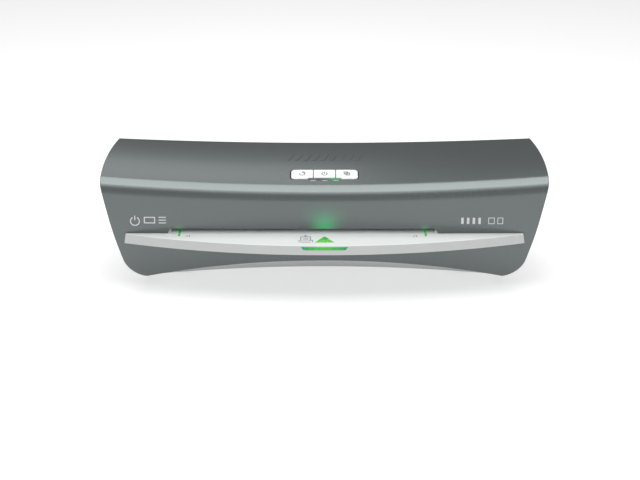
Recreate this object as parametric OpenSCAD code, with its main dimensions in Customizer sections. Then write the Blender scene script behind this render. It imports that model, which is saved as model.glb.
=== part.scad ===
// Desktop pouch laminator, A4 width.
// X runs along the machine, +Y points to the back, +Z is up; the origin is on the
// table below the middle of the machine. Lengths are in millimetres.

/* [Cover] */
// Half of the cover's width along its front ridge
half_w = 196; // [192:1:200]
// Rise of the cover's surface from its middle to its ends
saddle_rise = 8; // [6:0.5:9]
// Wall thickness of the cover
cover_wall = 2.5; // [2:0.1:2.8]
// Front face, along Y
front_y = -45; // [-46:0.5:-44.5]
// Radius of the bend between the top and the front face
bend_r = 15; // [12:1:18]
// Height of the bend's centre line at the middle
bend_z = 83.8; // [82:0.2:86]
// Slope of the top where it meets the bend, in degrees
bend_slope = 18; // [16:1:20]
// Radius of the slightly crowned top
top_r = 400; // [350:10:450]
// Back edge of the cover at the middle, along Y
back_mid_y = 36; // [34:1:38]
// How far the back edge bows back at the middle
back_bow = 6.6; // [4:0.2:8]

/* [Cover outline] */
// Narrowing of the cover from its ridge to its back corners
back_taper = 9.3; // [7:0.1:11]
// Straight part of the narrowing from the ridge down, per millimetre
side_taper = 0.2; // [0.18:0.01:0.22]
// Curved part of the narrowing, per square millimetre
side_curve = 0.0004; // [0.0003:0.0001:0.0005]
// Height where the undercut starts
under_z = 62; // [61:0.5:64]
// Radius of the undercut
under_r = 90; // [80:5:100]
// Angle of the undercut at the lower edge, in degrees
under_a = 17; // [14:1:18]
// Height of the lower edge at the middle
edge_mid_z = 27.6; // [26:0.2:29]
// Height of the lower edge at its corners, before the saddle is added
edge_end_z = 4.4; // [4.2:0.2:6]
// Radius of the rounded lower corners
corner_r = 16; // [14:1:18]

/* [Slot and tray] */
// Middle of the pouch slot, along X
slot_x = -19; // [-20:0.5:-18]
// Half of the slot's width
slot_half = 116; // [114:0.5:117]
// Floor of the slot, level with the tray
slot_z = 55.5; // [55:0.1:56]
// Height of the slot
slot_gap = 4.4; // [4.3:0.1:4.8]
// Half of the tray's width
tray_half = 175; // [173:1:176]
// Most forward point of the tray
tray_front = -75.5; // [-78:0.5:-72]
// Height of the tray's front lip
tray_lip = 8.5; // [7.5:0.5:9]
// Front of the tray at its two ends
tray_end_y = -46.2; // [-46.6:0.1:-46]

/* [Rear and base] */
// Back of the machine
rear_y = 73; // [72.5:0.5:73.5]
// Lower edge of the rear cover
rear_low_z = 24; // [23:0.5:26]
// Underside of the base
base_z = 3; // [2.5:0.5:3.5]
// Half of the base's width at the bottom
base_half = 158; // [157:0.5:159]
// Wall of the base
base_wall = 2.4; // [2.2:0.1:2.8]

/* [Rollers and gears] */
// Gear module
gear_m = 1.25; // [1.25]
// Teeth of each roller gear
roller_teeth = 18; // [18]
// Teeth of the idler gear
idler_teeth = 24; // [24]
// Teeth of the motor pinion
pinion_teeth = 12; // [12]
// Gap between the two sleeves of a pair at rest
nip_gap = 0.3; // [0.3:0.05:0.5]
// Diameter of a roller shaft
shaft_d = 8; // [8]
// Half of a roller sleeve's length
sleeve_half = 112; // [111:0.5:113]
// Lift of an upper roller when a thick pouch passes
nip_lift = 1.2; // [0.8:0.1:1.2]

/* [Buttons] */
// Width of one button
button_w = 19.2; // [18.8:0.1:19.3]
// Length of one button, along the slope
button_l = 14.1; // [13.8:0.1:14.4]
// Travel of a button
button_travel = 0.8; // [0.5:0.1:0.8]

/* [Hidden] */
$fn = 48;
eps = 0.01;
fit = 0.05;
gap = 0.3;

// Cover profile
bend_y = front_y + bend_r;
crease_y = bend_y - bend_r * sin(bend_slope);
crease_z = bend_z + bend_r * cos(bend_slope);
top_cy = crease_y + top_r * sin(bend_slope);
top_cz = crease_z - top_r * cos(bend_slope);
taper_z = bend_z + 9.4;
back_corner_x = half_w - back_taper;

// Mechanism
nip_z = slot_z + slot_gap / 2;
roller_pitch = gear_m * roller_teeth;
sleeve_r = (roller_pitch - nip_gap) / 2;
low_z = nip_z - roller_pitch / 2;
high_z = nip_z + roller_pitch / 2;
idler_y = 16;
train_pitch = gear_m * (roller_teeth + idler_teeth) / 2;
front_roller_y = idler_y - train_pitch;
rear_roller_y = idler_y + train_pitch;
pinion_z = low_z - gear_m * (idler_teeth + pinion_teeth) / 2;
plate_t = 1.6;
plate_l_x = slot_x - 123;
plate_r_x = slot_x + 122;
gear_x = plate_r_x + plate_t + 2.4;
gear_w = 7;
bracket_x = gear_x + gear_w + 3;
shaft_l_x = plate_l_x - 4;
shaft_r_x = gear_x + gear_w + 0.8;
block_w = 16;
block_h = 12;
neck_w = 12;
block_l = 8.8;
spring_seat_z = 88.4;
spring_x_in = 5;

// Button deck: a frame on the sloping top
button_gap = 0.6;
deck_y = -21.3;
deck_z = 102.08;
deck_slope = 16;
deck_pitch = button_w + button_gap;
pcb_top = -10.6;
strip_r = 3.4;
notch_half = 14.6;
notch_y = -5;
lens_front = -button_l / 2;

// Panels and base
panel_foot_x = 166.5;
panel_foot_z = 14;
panel_lean = 9.1;
panel_t = 2.4;
panel_front_y = -20;
base_rise = 0.1;
floor_z = base_z + base_wall;

function mix(a, b, k) = a * (1 - k) + b * k;
function saddle(x) = saddle_rise * (x / half_w) ^ 2;
function back_y(x) = back_mid_y - back_bow * (x / back_corner_x) ^ 2;
function side_x(z) =
    let (d = max(0, taper_z - z)) half_w - side_taper * d - side_curve * d ^ 2;

// A row of the cover is [part, k]: a share of the crowned top from back to front, an
// angle of the bend, a height on the front face, or a share of the undercut from top to edge
cover_rows = concat(
    [for (k = [0:0.2:0.8]) ["top", k]],
    [for (a = [bend_slope:9:90]) ["bend", a]],
    [["face", mix(bend_z, under_z, 0.5)]],
    [for (k = [0, 0.2, 0.4, 0.6, 0.72, 0.8, 0.87, 0.93, 0.97, 0.99, 1]) ["low", k]]);

function low_end_z(k) = mix(under_z, edge_end_z, k);
function row_end_x(row) =
    row[0] == "top" ? half_w - back_taper * (1 - row[1]) ^ 2
    : row[0] == "bend" ? side_x(bend_z + bend_r * cos(row[1]))
    : row[0] == "face" ? side_x(row[1])
    : let (z = low_end_z(row[1]), q = max(0, 1 - (z - edge_end_z) / corner_r))
        side_x(z) - corner_r * (1 - sqrt(1 - q ^ 2));

// [y, z, angle of the outward normal from vertical] of a row before the saddle is added
function row_profile(row, t, x) =
    row[0] == "top" ?
        let (y = mix(back_y(x), crease_y, row[1]), a = asin((top_cy - y) / top_r))
        [y, top_cz + top_r * cos(a), a]
    : row[0] == "bend" ?
        [bend_y - bend_r * sin(row[1]), bend_z + bend_r * cos(row[1]), row[1]]
    : row[0] == "face" ? [front_y, row[1], 90]
    : let (z = mix(under_z, edge_mid_z + (edge_end_z - edge_mid_z) * t ^ 2, row[1]))
        undercut(z);
function undercut(z) =
    let (a = asin(min(1, (under_z - z) / under_r)), s = min(a, under_a),
         below = max(0, under_z - under_r * sin(under_a) - z))
    [front_y + under_r * (1 - cos(s)) + below * tan(under_a), z, 90 + s];
function cover_point(row, t, depth) =
    let (x = t * row_end_x(row), p = row_profile(row, t, x))
    [x, p[0] + depth * sin(p[2]), p[1] + saddle(x) - depth * cos(p[2])];

// Rear cover: a curve from the cover's back edge down to its lower edge. Its upper rim is
// upright, so that it stands flat against the cover's back edge
rear_top_gap = 0.5;
rear_shoulder = [rear_y - 0.5, 90];
rear_foot_x = 171;
function bezier(a, b, c, k) = a * (1 - k) ^ 2 + 2 * b * k * (1 - k) + c * k ^ 2;
function rear_curve(x, k) =
    let (y0 = back_y(x),
         z0 = top_cz + sqrt(top_r ^ 2 - (top_cy - y0) ^ 2) + saddle(x) - 0.3)
    bezier([y0 + rear_top_gap, z0], rear_shoulder + [0, 0.6 * saddle(x)],
           [rear_y, rear_low_z], k);
function rear_end_x(k) =
    let (top = rear_curve(back_corner_x, 0)[1], z = rear_curve(back_corner_x, k)[1])
    mix(back_corner_x, rear_foot_x, (top - z) / (top - rear_low_z));
function rear_point(k, t, depth) =
    let (x = t * rear_end_x(k), p = rear_curve(x, k),
         d = rear_curve(x, min(1, k + 0.01)) - rear_curve(x, max(0, k - 0.01)),
         square = [-d[1], d[0]] / norm(d), n = mix([0, 1], square, min(1, 5 * k)))
    [x, p[0] - depth * n[0] / norm(n), p[1] - depth * n[1] / norm(n)];

// Solid between two grids of points of the same size. A closed grid runs round a tub,
// and its last rows are filled in towards the plan point given as its centre
module between(outer, inner, closed = false, centre = [0, 0]) {
    rows = len(outer);
    cols = len(outer[0]);
    last = closed ? cols - 1 : cols - 2;
    shift = rows * cols;
    points = concat([for (grid = [outer, inner]) for (line = grid) for (p = line) p],
        closed ? [for (grid = [outer, inner])
            [centre[0], centre[1], grid[rows - 1][0][2]]] : []);
    function at(i, j) = j * cols + i % cols;
    skin = [for (j = [0:rows - 2]) for (i = [0:last])
        let (a = at(i, j), b = at(i + 1, j), c = at(i + 1, j + 1), d = at(i, j + 1))
        each [[a, b, c], [a, c, d]]];
    flipped = [for (f = skin) [f[2] + shift, f[1] + shift, f[0] + shift]];
    rim = concat(
        [for (i = [0:last]) let (a = at(i, 0), b = at(i + 1, 0))
            each [[b, a, a + shift], [b, a + shift, b + shift]]],
        closed ? [] : [for (i = [0:last]) let (a = at(i, rows - 1), b = at(i + 1, rows - 1))
            each [[a, b, b + shift], [a, b + shift, a + shift]]],
        closed ? [] : [for (j = [0:rows - 2]) let (a = at(0, j), b = at(0, j + 1))
            each [[a, b, b + shift], [a, b + shift, a + shift]]],
        closed ? [] : [for (j = [0:rows - 2]) let (a = at(cols - 1, j), b = at(cols - 1, j + 1))
            each [[b, a, a + shift], [b, a + shift, b + shift]]]);
    bottom = !closed ? [] : [for (i = [0:last])
        let (a = at(i, rows - 1), b = at(i + 1, rows - 1))
        each [[a, b, 2 * shift], [b + shift, a + shift, 2 * shift + 1]]];
    polyhedron(points, concat(skin, flipped, rim, bottom));
}

// Round tube along a path of points
module tube(path, r, sides = 8) {
    count = len(path);
    reference = [0.37, 1, 0.21];
    points = [for (i = [0:count - 1])
        let (ahead = path[min(i + 1, count - 1)] - path[max(i - 1, 0)],
             e1 = cross(ahead, reference), e2 = cross(ahead, e1))
        for (s = [0:sides - 1])
            path[i] + r * (e1 / norm(e1) * cos(360 * s / sides)
                           - e2 / norm(e2) * sin(360 * s / sides))];
    skin = [for (j = [0:count - 2]) for (i = [0:sides - 1])
        let (a = j * sides + i, b = j * sides + (i + 1) % sides)
        each [[a, b, b + sides], [a, b + sides, a + sides]]];
    ends = [
        [for (i = [sides - 1:-1:0]) i],
        [for (i = [0:sides - 1]) (count - 1) * sides + i]];
    polyhedron(points, concat(skin, ends));
}

// Smooth curve through hand-placed points
function through(p, steps = 4) =
    let (n = len(p) - 1)
    concat([for (i = [0:n - 1]) for (s = [0:steps - 1])
        let (k = s / steps, a = p[max(0, i - 1)], b = p[i], c = p[i + 1], d = p[min(n, i + 2)])
        0.5 * (2 * b + (c - a) * k + (2 * a - 5 * b + 4 * c - d) * k ^ 2
               + (3 * b - a - 3 * c + d) * k ^ 3)], [p[n]]);

// Cylinder along +X from the point given
module rod(from, length, d) {
    translate(from) rotate([0, 90, 0]) cylinder(h = length, d = d);
}

// Extrusion along +X of an outline drawn in Y and Z
module along_x(from_x, length) {
    translate([from_x, 0, 0]) rotate([90, 0, 90]) linear_extrude(length) children();
}

// Box from its lowest to its highest corner
module block(low, high) {
    translate(low) cube(high - low);
}

// Frame of the button deck: its Z is square to the sloping top
module on_deck() {
    translate([0, deck_y, deck_z]) rotate([deck_slope, 0, 0]) children();
}

// Involute gear outline
pressure = 20;
backlash = 0.1;
function inv(a) = tan(a) * 180 / PI - a;
function tooth_half(teeth, r) =
    let (rp = gear_m * teeth / 2, rb = rp * cos(pressure), a = acos(min(1, rb / max(r, rb))))
    90 / teeth - backlash / rp * 180 / PI + inv(pressure) - inv(a);
function gear_outline(teeth, phase) =
    let (rp = gear_m * teeth / 2, root = rp - 1.2 * gear_m, tip = rp + 0.88 * gear_m,
         rb = max(root, rp * cos(pressure)),
         radii = concat([root], [for (k = [0:4]) mix(rb + 0.02, tip, k / 4)]))
    [for (n = [0:teeth - 1]) let (mid = phase + 360 * n / teeth)
        each concat(
            [for (r = radii) let (a = mid - tooth_half(teeth, r)) r * [cos(a), sin(a)]],
            [for (i = [5:-1:0]) let (a = mid + tooth_half(teeth, radii[i]))
                radii[i] * [cos(a), sin(a)]])];
// Phase of a gear that meshes with one of phase a, in direction dir from it
function mate(a, dir, teeth_a, teeth_b) =
    dir + 180 - 360 / teeth_b * ((a - dir) * teeth_a / 360 + 0.5);
upper_phase = mate(0, 90, roller_teeth, roller_teeth);
idler_phase = mate(0, 0, roller_teeth, idler_teeth);
rear_phase = mate(idler_phase, 0, idler_teeth, roller_teeth);
rear_upper_phase = mate(rear_phase, 90, roller_teeth, roller_teeth);
pinion_phase = mate(idler_phase, -90, idler_teeth, pinion_teeth);

module gear(pos, teeth, phase, bore, hub_d) {
    translate([gear_x, pos[0], pos[1]]) rotate([90, 0, 90]) difference() {
        union() {
            linear_extrude(gear_w) polygon(gear_outline(teeth, phase));
            translate([0, 0, -1]) cylinder(h = gear_w + 1.6, d = hub_d);
        }
        translate([0, 0, -2]) cylinder(h = gear_w + 4, d = bore);
        if (teeth == idler_teeth)
            for (a = [0:60:300]) rotate(a) translate([9.2, 0, -2])
                cylinder(h = gear_w + 4, d = 5);
    }
}

// ---- Housing ----

module top_cover() {
    cols = 30;
    outer = [for (r = cover_rows) [for (i = [0:cols]) cover_point(r, 2 * i / cols - 1, 0)]];
    inner = [for (r = cover_rows)
        [for (i = [0:cols]) cover_point(r, 2 * i / cols - 1, cover_wall)]];
    color([0.37, 0.40, 0.40]) difference() {
        between(outer, inner);
        slot_opening();
        tray_opening();
        on_deck() button_opening();
    }
}

module slot_opening() {
    top = slot_z + slot_gap;
    translate([slot_x, front_y + 10, 0]) rotate([90, 0, 0]) linear_extrude(20)
        polygon([[-slot_half - 3, slot_z - 1], [slot_half + 3, slot_z - 1],
                 [slot_half + 2.6, slot_z + 0.9], [slot_half, top],
                 [-slot_half, top], [-slot_half - 2.6, slot_z + 0.9]]);
}

module tray_opening() {
    block([-tray_half - gap, front_y - 10, slot_z - tray_lip - gap],
          [tray_half + gap, front_y + 10, slot_z + 0.1]);
}

// Outline of the strip of three buttons, with rounded corners
module strip_outline(grow) {
    offset(r = strip_r + grow)
        square([3 * deck_pitch - button_gap - 2 * strip_r, button_l - 2 * strip_r],
               center = true);
}

module button_opening() {
    translate([0, 0, -5]) linear_extrude(9) strip_outline(0.9);
}

tray_sag = tray_end_y - tray_front;
tray_arc_r = (tray_half ^ 2 + tray_sag ^ 2) / (2 * tray_sag);

module tray_outline(inset = 0, back = front_y + 2.4) {
    intersection() {
        translate([0, tray_front + tray_arc_r]) circle(r = tray_arc_r - inset, $fn = 360);
        translate([-tray_half + inset, tray_front - 1])
            square([2 * (tray_half - inset), back - tray_front + 1]);
    }
}

module feed_tray() {
    floor_t = 2.2;
    hook_w = 26;
    color([0.86, 0.88, 0.87]) difference() {
        union() {
            translate([0, 0, slot_z - tray_lip]) linear_extrude(tray_lip) tray_outline();
            for (x = [-150, -60, 60, 140])
                block([x - hook_w / 2, front_y + 2, slot_z - tray_lip],
                      [x + hook_w / 2, front_y + 8, slot_z - tray_lip + 2.2]);
            for (x = [-150, -60, 60, 140])
                block([x - hook_w / 2, front_y + 6, slot_z - tray_lip - 3.5],
                      [x + hook_w / 2, front_y + 8, slot_z - tray_lip + 2.2]);
        }
        difference() {
            translate([0, 0, slot_z - tray_lip - eps])
                linear_extrude(tray_lip - floor_t) tray_outline(2.2, front_y + 0.4);
            for (x = [-120:40:120])
                block([x - 0.8, tray_front, 0], [x + 0.8, front_y + 3, slot_z]);
        }
        arrow_cut(0.1);
        lip_cut(0.1);
        edge_cuts(0.1);
    }
}

// Arrow-shaped window in the tray's top
module arrow_shape(grow) {
    polygon([[-8.8 - grow, -67 - grow], [8.8 + grow, -67 - grow],
             [0.6 + grow, -52.5 + grow], [-0.6 - grow, -52.5 + grow]]);
}
module arrow_cut(grow) {
    translate([0, 0, slot_z - 2.6]) linear_extrude(3) arrow_shape(grow);
}
// Bar-shaped window in the lip, following its curve
module lip_cut(grow) {
    difference() {
        translate([0, 0, slot_z - 3.8 - grow]) linear_extrude(2.8 + 2 * grow)
            intersection() {
                tray_outline(-0.2);
                translate([-19 - grow, tray_front - 1]) square([38 + 2 * grow, 6]);
            }
        translate([0, 0, slot_z - 5]) linear_extrude(6) tray_outline(2.6 + grow);
    }
}
// Marker windows near both ends of the slot, from the tray into the slot's lower lip
module edge_cuts(grow) {
    for (s = [-1, 1]) translate([slot_x - 0.4 + s * 108.2, 0, slot_z - 2.6])
        block([-0.95 - grow, -51.5 - grow, 0], [0.95 + grow, -34.6 + grow, 3]);
}

module arrow_lens() {
    color([0.2, 0.75, 0.3]) intersection() {
        arrow_cut(0);
        block([-20, tray_front, slot_z - 2.6], [20, front_y, slot_z + 0.1]);
    }
}
module lip_lens() {
    color([0.3, 0.8, 0.35]) lip_cut(0);
}
module edge_lenses() {
    color([0.15, 0.7, 0.25]) intersection() {
        edge_cuts(0);
        block([-200, tray_front, slot_z - 2.2], [200, -34, slot_z + 0.1]);
    }
}

module slot_guide() {
    y0 = front_y + cover_wall + gap;
    y1 = front_roller_y - 9.75;
    top = slot_z + slot_gap + 0.1;
    color([0.88, 0.89, 0.88]) {
        difference() {
            along_x(slot_x - slot_half - 3.6, 2 * slot_half + 7.2)
                polygon([[y0, slot_z - 2.3], [y0, slot_z - 0.1], [y0 + 9, slot_z - 0.1],
                         [y1, nip_z - 0.8], [y1, nip_z - 2.6]]);
            edge_cuts(0.1);
        }
        along_x(slot_x - slot_half - 3.6, 2 * slot_half + 7.2) {
            polygon([[y0, top + 2.2], [y0, top], [y0 + 9, top],
                     [y1, nip_z + 0.8], [y1, nip_z + 2.6]]);
        }
        for (x = [slot_x - slot_half - 3.6, slot_x + slot_half + 0.6])
            block([x, y0 + 1, slot_z - 2.3], [x + 3, y1 - 1, top + 2.2]);
    }
}

module slot_light() {
    y0 = front_y + cover_wall + gap;
    top = slot_z + slot_gap + 0.1 + 2.2;
    color([0.4, 0.9, 0.5])
        block([-10, y0 + 0.2, top + 0.1], [10, y0 + 5, top + 4]);
}

function base_front_y(x) = 8.5 - 17.5 * (x / 150) ^ 2;
base_front = function (s) [
    [base_half * s, base_front_y(base_half * s), base_z],
    cover_point(["low", 1], s, cover_wall) + [0, gap, 0.5],
    [-s ^ 9, 1]];
panel_x = function (z) panel_foot_x + (z - panel_foot_z) * tan(panel_lean);
side_top_z = function (y) panel_foot_z + base_rise * (y - panel_front_y);
base_side = function (s, k) let (y = mix(panel_front_y, rear_y - 4, k), z = side_top_z(y)) [
    [s * base_half, mix(-6, 64, k), base_z],
    [s * panel_x(z), y, z],
    [-s, 0]];
base_rear = function (t) let (z = side_top_z(rear_y - 4)) [
    [t * (base_half - 3), 66.5, base_z],
    [t * (panel_x(z) - 2), rear_y - 0.2, z],
    [-t ^ 9, -1]];
base_ring = concat(
    [for (i = [0:20]) base_front(i / 10 - 1)],
    [for (i = [0:5]) base_side(1, i / 5)],
    [for (i = [0:8]) base_rear(1 - i / 4)],
    [for (i = [5:-1:0]) base_side(-1, i / 5)]);
function base_point(p, k, depth) =
    let (low = p[0], high = p[1], bend = [low[0], low[1], mix(low[2], high[2], 0.55)])
    bezier(low, bend, high, k) + depth * [p[2][0], p[2][1], 1 - k];

foot_y = [13, 46];
frame_boss = [for (x = [plate_l_x, plate_r_x]) for (y = foot_y) [x + 8, y]];
pcb_boss = [for (x = [-56, 56]) for (y = [18, 56]) [x, y]];
lug_y = [41, 61];
lug_x = 150;
housing_screw_at = [for (x = [-lug_x, lug_x]) for (y = lug_y) [x, y]];
foot_at = [for (x = [-128, 128]) for (y = [11, 54]) [x, y]];

module base() {
    rows = [for (k = [1:-0.25:0]) k];
    outer = [for (k = rows) [for (p = base_ring) base_point(p, k, 0)]];
    inner = [for (k = rows) [for (p = base_ring) base_point(p, k, base_wall)]];
    color([0.70, 0.71, 0.70]) difference() {
        union() {
            between(outer, inner, closed = true, centre = [0, 40]);
            for (p = frame_boss) translate([p[0], p[1], floor_z - 0.5])
                cylinder(h = 4.5, d = 8);
            for (p = pcb_boss) translate([p[0], p[1], floor_z - 0.5])
                cylinder(h = 7, d = 6);
        }
        for (p = concat(frame_boss, pcb_boss)) translate([p[0], p[1], floor_z + 0.5])
            cylinder(h = 10, d = 2.5);
        for (p = housing_screw_at) translate([p[0], p[1], 0]) {
            cylinder(h = 20, d = 3.4);
            cylinder(h = base_z + 1.6, d = 7);
        }
        for (p = foot_at) translate([p[0], p[1], 0]) cylinder(h = base_z + 0.8, d = 15.2);
        for (i = [-6:6]) block([i * 12 - 1.5, 24, 0], [i * 12 + 1.5, 46, 10]);
    }
}

module rear_cover() {
    cols = 30;
    rows = 10;
    outer = [for (j = [0:rows]) [for (i = [0:cols]) rear_point(j / rows, 1 - 2 * i / cols, 0)]];
    inner = [for (j = [0:rows])
        [for (i = [0:cols]) rear_point(j / rows, 1 - 2 * i / cols, cover_wall)]];
    color([0.70, 0.71, 0.70]) difference() {
        between(outer, inner);
        block([slot_x - slot_half, 55, nip_z - 2.5], [slot_x + slot_half, 90, nip_z + 2.5]);
        for (s = [-1, 1]) for (i = [0:7])
            block([s * 60 + (i - 3.5) * 9 - 1.5, 60, 32], [s * 60 + (i - 3.5) * 9 + 1.5, 90, 46]);
        translate([gland_x, 60, gland_z]) rotate([-90, 0, 0]) cylinder(h = 30, d = 12);
    }
}

gland_x = 142;
gland_z = 38;
gland_y = 75.5;
gland_in_y = 69.5;

module cord_gland() {
    color([0.12, 0.12, 0.13]) translate([gland_x, 0, gland_z]) rotate([-90, 0, 0])
        difference() {
            union() {
                translate([0, 0, gland_in_y]) cylinder(h = gland_y - gland_in_y, d = 11.6);
                translate([0, 0, gland_y - 2.2]) cylinder(h = 2.2, d = 15);
            }
            translate([0, 0, 60]) cylinder(h = 30, d = 7);
        }
}

panel_rows = concat(
    [for (r = cover_rows) let (p = cover_point(r, 0.925, cover_wall + 0.9))
        if (p[2] > side_top_z(p[1]) + 2) [p[1], p[2]]],
    [[panel_front_y - 9, side_top_z(panel_front_y - 9) + 0.3],
     [rear_y - 5, side_top_z(rear_y - 5) + 0.3]],
    [for (k = [0.95:-0.15:0]) let (p = rear_point(k, 0.96, cover_wall + 0.9)) [p[1], p[2]]]);

module side_panel(s) {
    outline = [for (p = panel_rows) [p[0], (p[1] - panel_foot_z) / cos(panel_lean)]];
    color([0.36, 0.39, 0.39]) scale([s, 1, 1]) {
        translate([panel_foot_x, 0, panel_foot_z]) rotate([0, panel_lean, 0])
            rotate([90, 0, 90]) translate([0, 0, -panel_t]) linear_extrude(panel_t)
            polygon(outline);
        for (y = lug_y) difference() {
            block([lug_x - 6, y - 6, 26], [167, y + 6, 29]);
            translate([lug_x, y, 0]) cylinder(h = 40, d = 2.6);
        }
    }
}
module side_panel_left() { mirror([1, 0, 0]) side_panel(1); }
module side_panel_right() { side_panel(1); }

module exit_guide() {
    y0 = rear_roller_y + 13;
    y1 = rear_y - 7.1;
    color([0.30, 0.32, 0.32]) {
        along_x(slot_x - slot_half - 3.6, 2 * slot_half + 7.2) {
            polygon([[y0, nip_z - 3.4], [y0, nip_z - 1.4], [y0 + 4, nip_z - 2.5],
                     [y1, nip_z - 2.5], [y1, nip_z - 4.3], [y0 + 4, nip_z - 4.3]]);
            polygon([[y0, nip_z + 3.4], [y0, nip_z + 1.4], [y0 + 4, nip_z + 2.5],
                     [y1, nip_z + 2.5], [y1, nip_z + 4.3], [y0 + 4, nip_z + 4.3]]);
        }
        for (x = [slot_x - slot_half - 3.6, slot_x + slot_half + 0.6])
            block([x, y0 + 4, nip_z - 4.3], [x + 3, y1 - 1, nip_z + 4.3]);
    }
}

module rubber_feet() {
    color([0.10, 0.10, 0.11]) for (p = foot_at) translate([p[0], p[1], 0]) {
        cylinder(h = base_z + 0.7, d = 15);
    }
}

module pan_screw(length, d = 3, head_d = 5.6, head_h = 2) {
    cylinder(h = head_h, d = head_d);
    cylinder(h = head_h + length, d = d);
}

module housing_screws() {
    color([0.75, 0.76, 0.78]) for (p = housing_screw_at)
        translate([p[0], p[1], base_z - 0.45]) difference() {
            pan_screw(25, 2.4);
            for (a = [0, 90]) rotate(a) translate([-1.6, -0.3, -eps]) cube([3.2, 0.6, 1]);
        }
}

// ---- Controls ----

module button_frame() {
    w = 3 * deck_pitch + 9;
    color([0.16, 0.17, 0.17]) on_deck() difference() {
        union() {
            translate([0, 0, -4.2]) linear_extrude(3.5) strip_outline(0.6);
            translate([-w / 2, -13.9, -5.4]) cube([w, 26.4, 2]);
            for (x = [-31, 31]) for (y = [-11.5, 10.5]) translate([x, y, pcb_top + 0.1])
                cylinder(h = -pcb_top - 4, d = 4);
        }
        for (i = [-1:1]) translate([0, 0, -6]) linear_extrude(6) cap_outline(i, 0.06);
        translate([-notch_half, lens_front - 0.1, -6])
            cube([2 * notch_half, notch_y - lens_front + 0.2, 6]);
    }
}

// Outline of one button: its third of the strip, cut back for the indicator lens
module cap_outline(i, grow) {
    difference() {
        intersection() {
            strip_outline(grow);
            translate([i * deck_pitch, 0])
                square([button_w + 2 * grow, button_l + 2 * grow], center = true);
        }
        translate([-notch_half + grow, notch_y - 5 - grow]) square([2 * (notch_half - grow), 5]);
    }
}

// Button cap with a stem that reaches to its switch
module button(i) {
    on_deck() {
        difference() {
            translate([0, 0, -3.2]) linear_extrude(3.9) cap_outline(i, 0);
            translate([0, 0, -3.3]) linear_extrude(2.5) offset(delta = -1.2) cap_outline(i, 0);
        }
        translate([i * deck_pitch, 0, pcb_top + 3.9 + button_travel + 0.1])
            cylinder(h = -pcb_top - 3.9 - button_travel - 0.6, d = 3.4);
    }
}
module reverse_button() { color([0.93, 0.94, 0.94]) button(-1); }
module power_button() { color([0.93, 0.94, 0.94]) button(0); }
module pouch_button() { color([0.93, 0.94, 0.94]) button(1); }

module indicator_lens() {
    color([0.55, 0.60, 0.58]) on_deck() {
        translate([-notch_half + gap, lens_front, -3.2])
            cube([2 * (notch_half - gap), notch_y - gap - lens_front, 3]);
        for (i = [-1:1]) translate([i * 10 - 2, lens_front + 0.2, -6]) cube([4, 1.4, 3]);
    }
}

module control_pcb() {
    color([0.10, 0.35, 0.18]) on_deck() difference() {
        translate([-36, -15, pcb_top - 1.6]) cube([72, 29, 1.6]);
        for (x = [-31, 31]) for (y = [-11.5, 10.5])
            translate([x, y, pcb_top - 2]) cylinder(h = 3, d = 2.2);
    }
}

module button_switches() {
    color([0.15, 0.15, 0.16]) on_deck() for (i = [-1:1])
        translate([i * deck_pitch, 0, pcb_top + 0.02]) {
            translate([-3, -3, 0]) cube([6, 6, 3.3]);
            cylinder(h = 3.9, d = 3.2);
        }
}

module indicator_leds() {
    color([0.4, 0.9, 0.4]) on_deck() for (i = [-1:1])
        translate([i * 10, lens_front + 1, pcb_top + 0.02]) {
            cylinder(h = 3, d = 3);
            cylinder(h = 1, d = 3.8);
        }
}

// ---- Frame ----

module plate_outline() {
    polygon([[-24, 24], [4, 14], [4, floor_z + 4.2], [56, floor_z + 4.2], [58, 30], [58, 76], [50, 90],
             [-16, 90], [-24, 82]]);
}

module frame_plate(x, inward) {
    flange = 14;
    side = inward > 0 ? x : x - flange + plate_t;
    color([0.72, 0.74, 0.76]) difference() {
        union() {
            along_x(x, plate_t) plate_outline();
            block([side, -14, 90 - plate_t], [side + flange, 48, 90]);
            for (y = foot_y)
                block([x, y - 8, floor_z + 4.2], [x + flange, y + 8, floor_z + 5.8]);
        }
        for (y = [front_roller_y, rear_roller_y]) {
            rod([x - 1, y, low_z], plate_t + 2, 12);
            block([x - 1, y - neck_w / 2 - fit, high_z - block_h / 2 - 0.2],
                  [x + plate_t + 1, y + neck_w / 2 + fit, high_z + block_h / 2 + nip_lift + 0.3]);
        }
        for (p = tie_at) rod([x - 1, p[0], p[1]], plate_t + 2, 3.4);
        for (p = frame_boss) translate([p[0], p[1], 0]) cylinder(h = 20, d = 3.2);
        if (inward < 0) {
            rod([x - 1, idler_y, low_z], plate_t + 2, 4);
            for (p = standoff_at) rod([x - 1, p[0], p[1]], plate_t + 2, 3.2);
        } else {
            rod([x - 1, idler_y, 60], plate_t + 2, 8);
        }
    }
}
tie_at = [[-18, 30], [50, 30], [idler_y, 84]];
standoff_at = [[-8, 22], [40, 22], [idler_y, 74]];

module frame_plate_left() { frame_plate(plate_l_x, 1); }
module frame_plate_right() { frame_plate(plate_r_x, -1); }

module tie_rods() {
    color([0.78, 0.80, 0.82]) for (p = tie_at) difference() {
        rod([plate_l_x + plate_t + 0.05, p[0], p[1]], plate_r_x - plate_l_x - plate_t - 0.1, 7);
        rod([plate_l_x, p[0], p[1]], 12, 2.5);
        rod([plate_r_x - 12, p[0], p[1]], 13, 2.5);
    }
}

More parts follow.
